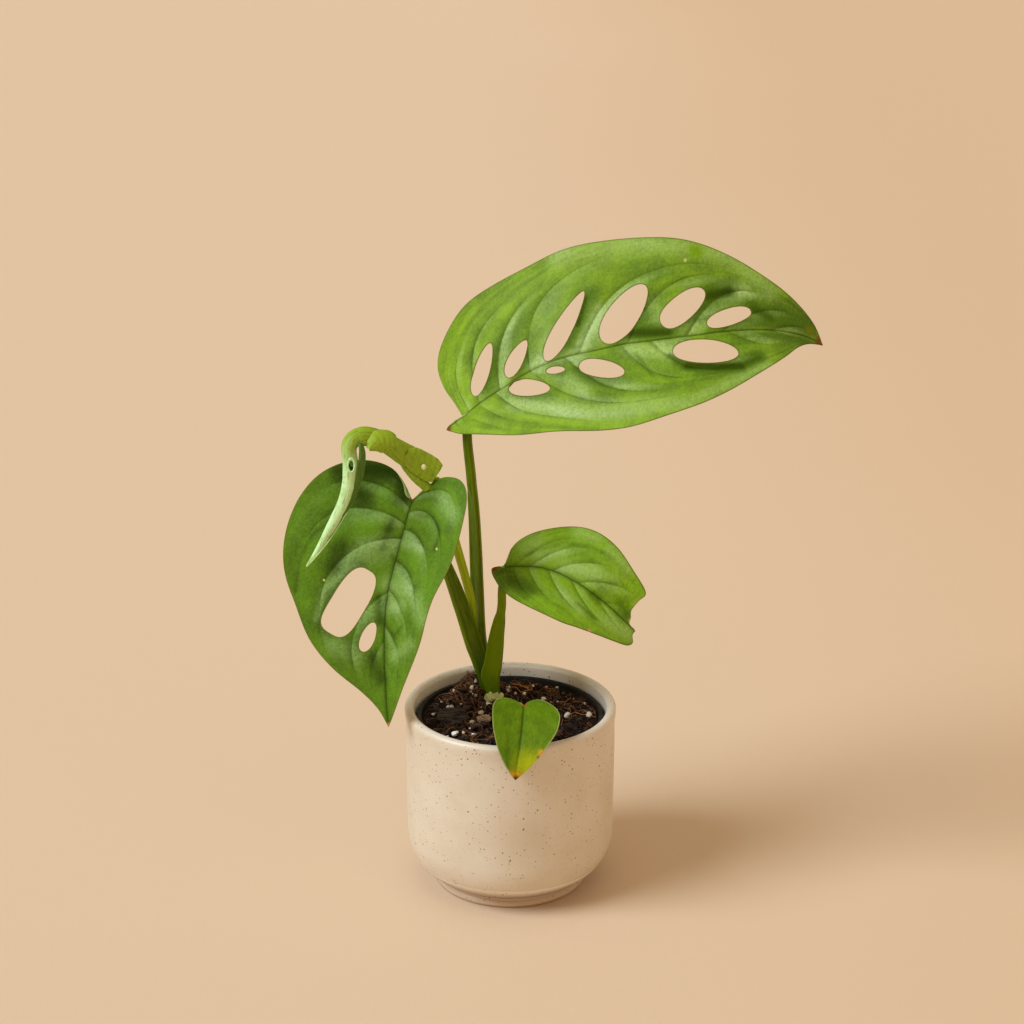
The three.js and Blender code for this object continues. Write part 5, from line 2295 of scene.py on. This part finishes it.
LARGE_LEAF = Blade(
    name="large_leaf",
    node="large_leaf_blade",
    skin=LeafSkin(
        name="large_leaf",
        light=tone(142, 184, 20),
        deep=tone(76, 110, 2),
        painted_sheen=tone(164, 196, 110),
        vein=tone(34, 46, 1),
        rib=tone(124, 160, 44),
        edge=tone(96, 98, 20),
        sheen=0.85,
        ageing=0.3,
        spots=(
            Spot(3.0, -9.2, 1.2, 4.4, BROWN, 0.7),
            Spot(-12.5, 163.5, 0.6, 3.4, tone(116, 124, 8), 0.8),
            Spot(-7.0, 169.8, 2.4, 6.0, tone(120, 88, 12), 0.8),
            Spot(-6.4, 170.6, 0.8, 2.8, tone(132, 72, 18), 0.5),
            Spot(-46.0, 114.5, 0.6, 5.4, tone(118, 160, 6), 1),
            Spot(-42.4, 109.6, 0.1, 1.1, tone(192, 206, 120), 0.9),
        ),
    ),
    base=(-20.5, 12, 215.7),
    heading=(0.966, -0.1, 0.238),
    facing=(-0.235, -0.728, 0.644),
    length=172,
    bow=(24, 34, 4),
    fold=(0.16, 8),
    thickness=0.55,
    rib=1.0,
    quilt=0.85,
    wave=(1.1, 47, 0.6),
    midrib=(
        (0, 0), (-3.2, 11), (-5.6, 21), (-10.2, 44), (-10, 75), (-8.8, 107), (-10, 140),
        (-9.4, 158), (-7, 170),
    ),
    margins={
        Side.LEFT: (
            (0, 0), (-8.3, -3.6), (-17, -7.6), (-27, -8.7), (-36, -4), (-46, 9), (-51.7, 24.5),
            (-55.5, 41), (-57.5, 62), (-57.4, 82), (-54.5, 99), (-49.5, 116), (-42.5, 130.8),
            (-33.5, 144), (-24.3, 156.5), (-17, 165), (-12, 168.4), (-7, 170),
        ),
        Side.RIGHT: (
            (0, 0), (1.4, -4.4), (2.6, -9.3), (5.2, -6), (8.6, 0), (14.3, 14.5), (20, 30),
            (24.8, 47), (29, 65), (30.5, 82), (27.2, 101), (20, 119), (11.5, 134.5), (3.5, 146.5),
            (-2.6, 154.6), (-5.8, 161.5), (-7, 170),
        ),
    },
    veins={
        Side.LEFT: (
            (0.02, 0.18, 0.3), (0.09, 0.18, 0.33), (0.172, 0.18, 0.36), (0.27, 0.19, 0.28),
            (0.385, 0.1, 0.3), (0.521, 0.17, 0.35), (0.63, 0.13, 0.3), (0.745, 0.1, 0.25),
            (0.81, 0.15, 0.2), (0.9, 0.12, 0.1),
        ),
        Side.RIGHT: (
            (0.0, 0.15, 0.05), (0.068, 0.2, 0.1), (0.16, 0.18, 0.17), (0.25, 0.15, 0.25),
            (0.385, 0.17, 0.6), (0.485, 0.15, 0.6), (0.615, 0.09, 0.55), (0.675, 0.08, 0.5),
            (0.82, 0.1, 0.4), (0.9, 0.1, 0.3),
        ),
    },
    holes=(
        Hole(-17.2, 14, 23.7, 8.6, -58, 0.25, 1),
        Hole(-16.7, 30.9, 17.8, 7.6, -50, 0.3, 1),
        Hole(-24.4, 55, 33.6, 8.6, -49.5, 0.4, 1),
        Hole(-23.6, 81.2, 30, 13.6, -46.5, 0.15, 0.95),
        Hole(-21.9, 106.1, 23.4, 11, -36, 0.15, 0.9),
        Hole(-15.9, 125.1, 20.6, 7.5, -17, 0.05, 0.9),
        Hole(-1.3, 34.9, 20.8, 8.2, 23, 0.1, 0.95),
        Hole(-5.8, 47.9, 8.8, 3.6, 13, 0, 1),
        Hole(-0.6, 68.2, 21.2, 8.4, 27.5, 0.05, 0.9),
        Hole(-0.4, 112.7, 27.4, 11.8, 9, 0.05, 0.95),
    ),
    puckers=(
        (-34.1, 65.9, -23.6, 60.6, 2.2, -1), (-14.5, 83.0, -11.5, 98.2, 3.5, -1),
        (-25.9, 116.7, -27.7, 126.1, 4, -1), (-15.4, 110.7, -16.0, 115.9, 2.5, -0.6),
        (-19.5, 136.7, -15.8, 143.4, 4, -0.8), (-0.6, 97.5, 5.6, 104.2, 1.8, -0.8),
        (5.6, 104.2, 8, 116.5, 2.7, -1.1), (8, 116.5, 8.1, 126.5, 2.7, -1.1),
        (8.1, 126.5, 4.2, 134.8, 2.7, -0.8), (-4.2, 83.6, 7.5, 89.2, 1, -0.34),
        (-15.0, 147.8, -13.6, 158.7, 9, -0.45), (1.3, 26.6, 8.2, 44.6, 1, -0.21),
        (4.1, 62.4, 8.6, 76.0, 1, -0.17), (-55.5, 57.6, -54.2, 88.2, 5, 0.7),
        (-54.2, 88.2, -43.0, 128.7, 4, 0.7), (-43.0, 128.7, -28.5, 144.7, 4, 0.6),
        (-15.1, 61.5, -27.5, 71.3, 3, 1), (-10.7, 37.6, -11.5, 60.9, 2.5, 0.8),
        (-7.8, 81.4, -1.0, 97.7, 3.5, 1), (3.3, 26.5, 17.1, 58.1, 4, 0.9),
        (18.9, 61.3, 24.9, 102.7, 4, 0.7), (23.9, 102.8, 8.7, 138.4, 3, 0.6),
        (-27.7, 125.2, -28.6, 133.3, 3.5, 0.9), (-12.4, 105.2, -16.0, 114.1, 3, 0.7),
        (0.1, 54.1, 7.6, 60.5, 3, 0.6), (-25.0, 93.3, -18.1, 95.7, 4, 0.6),
    ),
    cells=(124, 210),
)

LEFT_LEAF = Blade(
    name="left_leaf",
    node="left_leaf_blade",
    skin=LeafSkin(
        name="left_leaf",
        light=tone(98, 144, 6),
        deep=tone(54, 80, 1),
        painted_sheen=tone(144, 180, 104),
        vein=tone(24, 40, 1),
        rib=tone(54, 86, 4),
        edge=tone(112, 114, 34),
        sheen=0.7,
        ageing=0.05,
        spots=(
            Spot(1, 101.6, 0.6, 2.6, TAN, 0.5),
            Spot(0.4, -0.8, 0.4, 1.8, tone(128, 92, 24), 0.5),
            Spot(-17.7, 19.2, 0.3, 0.7, tone(214, 206, 120), 0.2),
            Spot(33.5, 40.2, 0.3, 0.7, tone(214, 206, 120), 0.2),
        ),
    ),
    base=(-42.4, 2, 180.9),
    heading=(-0.113, -0.252, -0.961),
    facing=(-0.426, -0.862, 0.276),
    length=102,
    bow=(8, 6, 3),
    fold=(0.34, 6),
    thickness=0.55,
    rib=0.9,
    quilt=1.0,
    wave=(1, 41, 2),
    midrib=((0, 0), (0.8, 4), (2.8, 20), (5.3, 40), (5.5, 54), (4.4, 68), (2.2, 89), (1, 102)),
    margins={
        Side.LEFT: (
            (0, 0), (-5, -4.5), (-9.5, -9.5), (-16, -12), (-23.5, -11.5), (-28.5, -7), (-30.5, 1),
            (-29.6, 12), (-26, 26), (-20.5, 40), (-16, 57), (-10, 74), (-4, 89.5), (1, 102),
        ),
        Side.RIGHT: (
            (0, 0), (3.6, -1.5), (6, -6.8), (11, -12), (19, -14), (28, -12.8), (36.5, -8.3),
            (43.7, -1), (49.6, 9.5), (51.8, 22), (50.2, 39), (44.8, 52.5), (37, 66), (26, 77.8),
            (14, 87), (6, 94.5), (1, 102),
        ),
    },
    veins={
        Side.LEFT: (
            (0.0, 0.33, 0.15), (0.16, 0.36, 0.2), (0.28, 0.36, 0.1), (0.44, 0.27, 0.15),
            (0.56, 0.25, 0.15), (0.69, 0.2, 0.15), (0.8, 0.15, 0.15), (0.9, 0.1, 0.1),
        ),
        Side.RIGHT: (
            (0.0, 0.2, 0.12), (0.13, 0.2, 0.15), (0.25, 0.22, 0.25), (0.33, 0.42, 0.15),
            (0.57, 0.4, 0.1), (0.74, 0.34, 0.1), (0.85, 0.2, 0.1), (0.93, 0.1, 0.05),
        ),
    },
    holes=(Hole(21.6, 48, 32.4, 14.2, 25, -0.12, 0.62), Hole(12.1, 62.4, 13.8, 5.8, 16.5, -0.1, 1)),
    puckers=(
        (21.8, -9.7, 8.3, -11.1, 6, -1), (8.2, -10.2, 4.0, -1.2, 4, -0.9),
        (32.5, -6.9, 21.7, 1.8, 5, -0.8), (34.7, 57.8, 32.9, 44.5, 1.5, 0.9),
        (32.9, 44.5, 20.7, 33.1, 1.8, 0.6), (45.3, 47.0, 44.1, 33.0, 1, -0.29),
        (44.1, 33.0, 40.7, 22.2, 1, -0.29), (40.7, 22.2, 34.2, 15.2, 1, -0.25),
        (26.9, 25.3, 29.1, 34.3, 5, -0.6), (9.5, 45.6, 7.9, 54.4, 2.5, -0.6),
        (9.0, 72.1, 5.1, 80.8, 3, -0.5), (10.2, 22.7, 7.8, 10.0, 2, -0.5),
        (19.7, 22.5, 9.1, 19.0, 2.5, 0.8), (26.7, 32.2, 21.9, 24.6, 2, 0.6),
        (25.8, 67.9, 17.0, 70.4, 4, 0.6), (19.1, 55.9, 15.5, 49.2, 2.5, 0.4),
        (-2.5, 5.9, -12.9, 6.4, 1, -0.29), (-12.9, 6.4, -18.1, 11.8, 1, -0.34),
        (-18.1, 11.8, -16.6, 19.8, 1, -0.29), (5.7, 25.6, -8.6, 37.4, 1.2, -0.34),
        (-1.7, 13.0, -12.0, 20.4, 1, -0.29), (4.3, 56.4, -0.1, 60.1, 1, -0.21),
        (-4.6, 54.7, -0.1, 60.1, 1, -0.21), (5.2, 37.9, -5.1, 39.7, 4, 0.9),
        (4.6, 49.2, -3.9, 45.1, 3, 0.7), (-10.4, 42.3, -16.2, 49.9, 4, 0.8),
        (-16.8, -0.2, -25.0, 4.2, 4, 0.6), (-0.9, 69.0, -9.6, 61.8, 3, 0.7),
        (1.6, 19.6, -9.8, 20.7, 2, 0.7),
    ),
    cells=(120, 150),
)

RIGHT_LEAF = Blade(
    name="right_leaf",
    node="right_leaf_blade",
    skin=LeafSkin(
        name="right_leaf",
        light=tone(132, 178, 12),
        deep=tone(76, 106, 1),
        painted_sheen=tone(164, 200, 110),
        vein=tone(40, 62, 1),
        rib=tone(66, 96, 6),
        edge=tone(92, 80, 22),
        patch=7,
        ageing=-0.1,
        spots=(
            Spot(2.6, -3.4, 0.6, 3, tone(124, 74, 26), 0.6),
            Spot(10.2, 47.5, 0.5, 1.3, TAN, 0.5),
            Spot(-6, 62.5, 0.4, 2.4, tone(160, 158, 66), 0.6),
            Spot(-14, 60.2, 0.4, 2.4, tone(160, 158, 66), 0.6),
        ),
    ),
    base=(-3.2, 4, 148.8),
    heading=(0.864, -0.202, -0.462),
    facing=(0.167, -0.75, 0.639),
    length=84,
    bow=(26, 12, 3),
    fold=(0.36, 4),
    thickness=0.5,
    rib=0.8,
    quilt=0.65,
    wave=(0.5, 31, 1),
    midrib=((0, 0), (-4.2, 9), (-7.3, 19), (-7.8, 33), (-6.3, 48), (-4.4, 60), (-3.5, 66.4)),
    margins={
        Side.LEFT: (
            (0, 0), (-4, 0.8), (-10, 0.4), (-16.5, 4.5), (-23, 12), (-28.6, 21), (-30.6, 30),
            (-29, 40), (-24.6, 50.5), (-19.6, 60.4), (-15, 60.2), (-10, 59.8), (-7, 61.6),
            (-4.6, 62.4), (-3.5, 66.4),
        ),
        Side.RIGHT: (
            (0, 0), (1.2, -1.8), (2.6, -4), (5.2, -2.4), (8.6, 1.8), (12, 7), (14.5, 14.5),
            (15.5, 24), (14.8, 35), (12.4, 43), (10.2, 51), (8, 58.5), (5.2, 65.4), (2, 67.6),
            (-1, 66), (-3.5, 66.4),
        ),
    },
    veins={
        Side.LEFT: (
            (0.02, 0.25, 0.25), (0.1, 0.28, 0.3), (0.2, 0.33, 0.25), (0.34, 0.3, 0.2),
            (0.5, 0.25, 0.15), (0.66, 0.2, 0.1), (0.82, 0.15, 0.1),
        ),
        Side.RIGHT: (
            (0.05, 0.25, 0.2), (0.18, 0.3, 0.25), (0.32, 0.3, 0.25), (0.47, 0.28, 0.2),
            (0.62, 0.25, 0.2), (0.78, 0.2, 0.1),
        ),
    },
    puckers=(
        (5.4, 7.0, 7.3, 16.1, 5, -0.6), (2.8, -0.5, 0.9, 4.2, 4, -0.5),
        (7.7, 29.9, 8.1, 38.5, 1, -0.29), (1.6, 37.9, 3.4, 47.6, 1.1, -0.38),
        (-6.5, 41.7, -5.7, 44.7, 2.5, -0.5), (-6.8, 5.2, -13.5, 12.4, 1, -0.25),
        (-13.5, 12.4, -20.9, 20.8, 1, -0.25), (-20.9, 20.8, -24.3, 30.9, 1, -0.25),
        (-24.3, 30.9, -23.9, 42.3, 1, -0.25), (-23.9, 42.3, -20.5, 53.3, 1, -0.21),
        (-10.3, 22.7, -14.8, 27.1, 1, -0.25), (-14.8, 27.1, -18.2, 34.2, 1, -0.25),
        (-18.2, 34.2, -18.8, 43.0, 1, -0.25), (-18.8, 43.0, -16.9, 52.5, 1, -0.21),
        (-10.5, 54.3, -7.0, 59.9, 3, -0.6), (-11.1, 43.3, -14.6, 46.9, 3, -0.4),
        (-11.2, 25.3, -14.8, 39.2, 3.5, 1), (-13.9, 39.7, -16.3, 45.8, 3, 0.6),
        (-10.9, 13.1, -15.7, 21.6, 3, 0.7), (-10.2, 4.9, -16.1, 9.4, 3, 0.5),
        (-27.4, 24.1, -28.7, 31.5, 3, 0.6), (-26.4, 38.5, -23.5, 49.4, 2.5, 0.6),
        (0.5, 30.0, 3.7, 40.2, 3, 0.6), (0.4, 52.7, -0.1, 62.8, 4, 0.7),
    ),
    cells=(96, 130),
)

SMALL_LEAF = Blade(
    name="small_leaf",
    node="small_leaf_blade",
    skin=LeafSkin(
        name="small_leaf",
        light=tone(106, 140, 5),
        deep=tone(66, 94, 1),
        painted_sheen=tone(116, 152, 52),
        vein=tone(54, 78, 2),
        rib=tone(70, 98, 6),
        edge=tone(164, 168, 96),
        patch=6,
        spots=(
            Spot(-5, 28.5, 0.5, 11, tone(166, 176, 12), 2.5),
            Spot(0.3, 33.6, 1.6, 4.4, tone(190, 150, 30), 1.5),
            Spot(0.3, 34.6, 0.6, 2.2, tone(96, 54, 20)),
            Spot(-9.4, 22.6, 0.6, 2.4, tone(196, 150, 34), 0.8),
            Spot(-8.6, 24.4, 0.3, 1.2, tone(104, 58, 18), 0.8),
            Spot(0, -1, 0.4, 2.0, tone(156, 104, 34), 0.7),
        ),
    ),
    base=(6, -31.6, 97.8),
    heading=(-0.1, -0.68, -0.72),
    facing=(0.05, -0.72, 0.69),
    length=35,
    bow=(27, 4, 2),
    fold=(0.16, 3),
    thickness=0.45,
    rib=0.5,
    quilt=0.25,
    wave=(0.3, 17, 0),
    midrib=((0, 0), (-0.2, 12), (0, 23), (0.3, 35)),
    margins={
        Side.LEFT: (
            (0, 0), (-1.7, -2.8), (-6, -4.3), (-10.2, -2.6), (-14, 1.2), (-15.9, 6), (-15.2, 12.5),
            (-12, 18.8), (-7.6, 25.7), (-3.2, 31.2), (0.3, 35),
        ),
        Side.RIGHT: (
            (0, 0), (3, -1.9), (7, -2.8), (11, -1.5), (13.3, 2.6), (13.2, 9), (11.8, 16), (9.2, 23),
            (5.6, 29), (2.4, 33), (0.3, 35),
        ),
    },
    veins={
        side: (
            (0.05, 0.25, 0.2), (0.2, 0.3, 0.2), (0.38, 0.3, 0.2), (0.56, 0.25, 0.15),
            (0.75, 0.2, 0.1),
        )
        for side in Side
    },
    cells=(72, 90),
)

OLIVE = tone(64, 84, 1)
FLANK = tone(134, 166, 8)
RED = tone(70, 24, 14)

STALKS = (
    Stalk(
        name="large_leaf_stalk",
        node="large_leaf_petiole",
        skin=StalkSkin("large_leaf_stalk", OLIVE, FLANK, RED, tone(70, 100, 8)),
        route=(
            (-11, 27.6, 72), (-12.4, 27.8, 92), (-14.3, 27, 108), (-15.2, 26, 134),
            (-16, 22.8, 163), (-17.2, 19, 185), (-18.8, 14.8, 207),
        ),
        opens=(-0.85, -0.5, 0),
        profile=(
            (0, 8, 6, 2.2), (0.12, 8.6, 6, 2.6), (0.5, 8.6, 5.2, 2.4), (0.7, 6.6, 4.6, 1.6),
            (0.76, 4.7, 4.4, 0), (1, 4.1, 4.1, 0),
        ),
        leaf=LARGE_LEAF,
        tuck=3,
        drop=2.8,
        cells=(48, 220),
    ),
    Stalk(
        name="left_leaf_stalk",
        node="left_leaf_petiole",
        skin=StalkSkin("left_leaf_stalk", tone(66, 86, 1), FLANK, FLANK, tone(70, 100, 8)),
        route=(
            (-9.4, 21.4, 72), (-12.2, 21.9, 87), (-14.6, 21.8, 98), (-18, 20.5, 110),
            (-22.4, 17.6, 126), (-28.4, 13.8, 145), (-35, 10.5, 162), (-40.6, 8.4, 175),
        ),
        opens=(0.6, -0.7, 0.3),
        profile=(
            (0, 4.6, 4.4, 0), (0.13, 4.8, 4.6, 0.4), (0.2, 7.4, 5, 1.6), (0.28, 9.2, 5, 2.4),
            (0.5, 8, 4.6, 2.2), (0.68, 5.6, 4.2, 1.4), (0.74, 4.4, 4, 0), (1, 3.6, 3.6, 0),
        ),
        leaf=LEFT_LEAF,
        tuck=2,
        drop=1.3,
    ),
    Stalk(
        name="new_leaf_stalk",
        node="new_leaf_petiole",
        skin=StalkSkin(
            "new_leaf_stalk", tone(172, 198, 6), tone(204, 220, 50), FLANK, tone(164, 194, 16)
        ),
        route=(
            (-13.4, 25.4, 96), (-15.8, 24, 111), (-17.7, 22.5, 125.6), (-19.9, 21, 136),
            (-22.9, 18, 149.1), (-27.2, 13.2, 167.6), (-30, 9.6, 178.4), (-32.6, 5.3, 189.8),
        ),
        opens=(-0.7, -0.7, 0),
        profile=((0, 2.8, 2.4, 0), (0.35, 4.6, 3.6, 0.3), (0.7, 4.8, 3.8, 0.3), (1, 3.8, 3.6, 0)),
    ),
    Stalk(
        name="right_leaf_stalk",
        node="right_leaf_petiole",
        skin=StalkSkin("right_leaf_stalk", tone(122, 150, 2), FLANK, RED, tone(66, 96, 6)),
        route=(
            (-7.4, 14.8, 71.5), (-7.4, 16.2, 80), (-8.5, 16.8, 86.5), (-9, 16.5, 91.5),
            (-7.8, 15.6, 97), (-6, 14, 112), (-3.9, 11, 126.4), (-3.4, 8.6, 138),
        ),
        opens=(-0.3, -0.95, 0),
        profile=(
            (0, 4.6, 4, 0), (0.12, 6, 4.6, 0.6), (0.24, 9, 5, 1.8), (0.45, 7.8, 4.4, 1.8),
            (0.62, 5.6, 4, 1.2), (0.68, 4, 3.8, 0), (1, 3.4, 3.4, 0),
        ),
        leaf=RIGHT_LEAF,
        tuck=3,
        drop=1.8,
    ),
    Stalk(
        name="small_leaf_stalk",
        node="small_leaf_petiole",
        skin=StalkSkin(
            "small_leaf_stalk", tone(96, 116, 34), FLANK, tone(120, 70, 40), tone(120, 110, 40)
        ),
        route=(
            (-6, 7.4, 71), (-5.4, 6.6, 77.2), (-3.2, 2, 80.9), (0, -8, 85.7), (3.6, -20, 91.4),
            (5.4, -27.4, 94.6),
        ),
        opens=(0, 0, 1),
        profile=((0, 4, 3.4, 0.4), (0.3, 3.4, 3, 0.4), (0.5, 2.6, 2.4, 0), (1, 2, 2, 0)),
        leaf=SMALL_LEAF,
        tuck=2,
        drop=1.7,
        cells=(32, 90),
    ),
)

NEW_LEAF = RolledLeaf(
    route=(
        (-33, 4.8, 191), (-38.3, 2.5, 196.2), (-44.3, 0, 201.4), (-49.8, -3, 206),
        (-56, -6, 210.6), (-62, -8.5, 213.2), (-66.8, -10, 212.2), (-68.6, -11, 208.6),
        (-68.2, -11.7, 202), (-69, -12.4, 193.3), (-71.2, -13, 185.6), (-75, -13.6, 178),
        (-78.8, -14.2, 171.1), (-83, -14.8, 164), (-88.2, -15.4, 156.6),
    ),
    opens=(0.4, -0.9, 0.2),
    laps=(
        Lap(
            ((-64.2, -12, 213), (-63.2, -13, 208.9), (-63.3, -13, 203.5), (-64.6, -13.5, 196.9),
             (-66.5, -13.5, 191), (-69, -14, 185.3), (-72, -14.5, 179.5)),
            (0.3, -0.95, 0.1), (1, 2.6, 3.0, 3.0, 2.8, 2.4, 0.5), 0.5, 1.0, 0.6,
        ),
        Lap(
            ((-47.6, -8.6, 209.6), (-52.4, -10.4, 212), (-57, -12.4, 212.2), (-60.2, -13.8, 209.6)),
            (0.1, -0.95, 0.35), (0.6, 7, 9, 9.6, 9.2, 7.4, 1.2), 2.0, 0.0,
        ),
        Lap(
            ((-44.6, -3.6, 204.2), (-39.8, -2, 200.2), (-35.2, -0.8, 196.8), (-31.4, -0.4, 193.8)),
            (0.2, -0.9, 0.4), (4, 9.2, 10.4, 10.8, 11, 10.8, 8.6), 1.0, 0.0,
        ),
        Lap(
            ((-48, -1.4, 200.6), (-45, -1.8, 196.9), (-40.8, -1.8, 192.3), (-35.4, -0.6, 186.8)),
            (0.2, -0.9, -0.2), (0.6, 2.8, 3.8, 4.2, 3.8), 1.2, 0.0, 0.4,
        ),
    ),
    stops=(
        (0, 7, 3, 200), (0.03, 10.2, 3.6, 205), (0.09, 11.8, 4.6, 215), (0.17, 10, 5.6, 235),
        (0.22, 9, 6.2, 245), (0.33, 9, 6.8, 265), (0.4, 9, 7.4, 280), (0.47, 8, 7.2, 300),
        (0.58, 7.6, 6.8, 330), (0.7, 6.6, 6.2, 360), (0.8, 5.6, 5.2, 390), (0.9, 3.9, 3.6, 420),
        (0.97, 1.8, 1.8, 435), (1, 0.8, 0.8, 440),
    ),
)

CHIPS = (
    Chip(
        name="bark_piece",
        node="dark_chip",
        slot=Slot.BARK,
        finish=ChipWood("bark", tone(14, 12, 11), tone(92, 82, 74), 20),
        place=(-25.6, -4, 80.0),
        outline=((-7, -2.6), (-3.6, -6), (2.6, -6.4), (6.6, -3), (6, 3), (1.2, 6.2), (-5.4, 4.6)),
        turn=8,
        tilt=9,
        thickness=2.8,
        seed=3,
    ),
    Chip(
        name="wood_piece",
        node="pale_chip",
        slot=Slot.WOOD,
        finish=ChipWood("pale_wood", tone(150, 122, 92), tone(212, 188, 156), 40),
        place=(-11.8, -6.4, 80.2),
        outline=((-3, -1.4), (-0.6, -2.6), (2.6, -1.8), (3.2, 1), (0.8, 2.4), (-2.6, 1.8)),
        turn=28,
        tilt=12,
        thickness=1.6,
        seed=5,
    ),
)


def dress_roots() -> None:
    """Gives the CAD's stem and roots their skin."""
    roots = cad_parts["stem_and_roots"]
    skin = RootSkin().make()
    for material_slot in roots.material_slots:
        material_slot.material = skin


def main() -> None:
    """Builds every piece and the studio."""
    logging.basicConfig(level=logging.INFO, format="%(message)s")
    Studio().build()
    StonewarePot().build()
    GrowerPot().build()
    PottingMix().build()
    leaves = (LARGE_LEAF, LEFT_LEAF, RIGHT_LEAF, SMALL_LEAF, NEW_LEAF)
    for part in (*CHIPS, *STALKS, *leaves, DrySheath()):
        part.build()
    dress_roots()


if __name__ == "__main__":
    main()
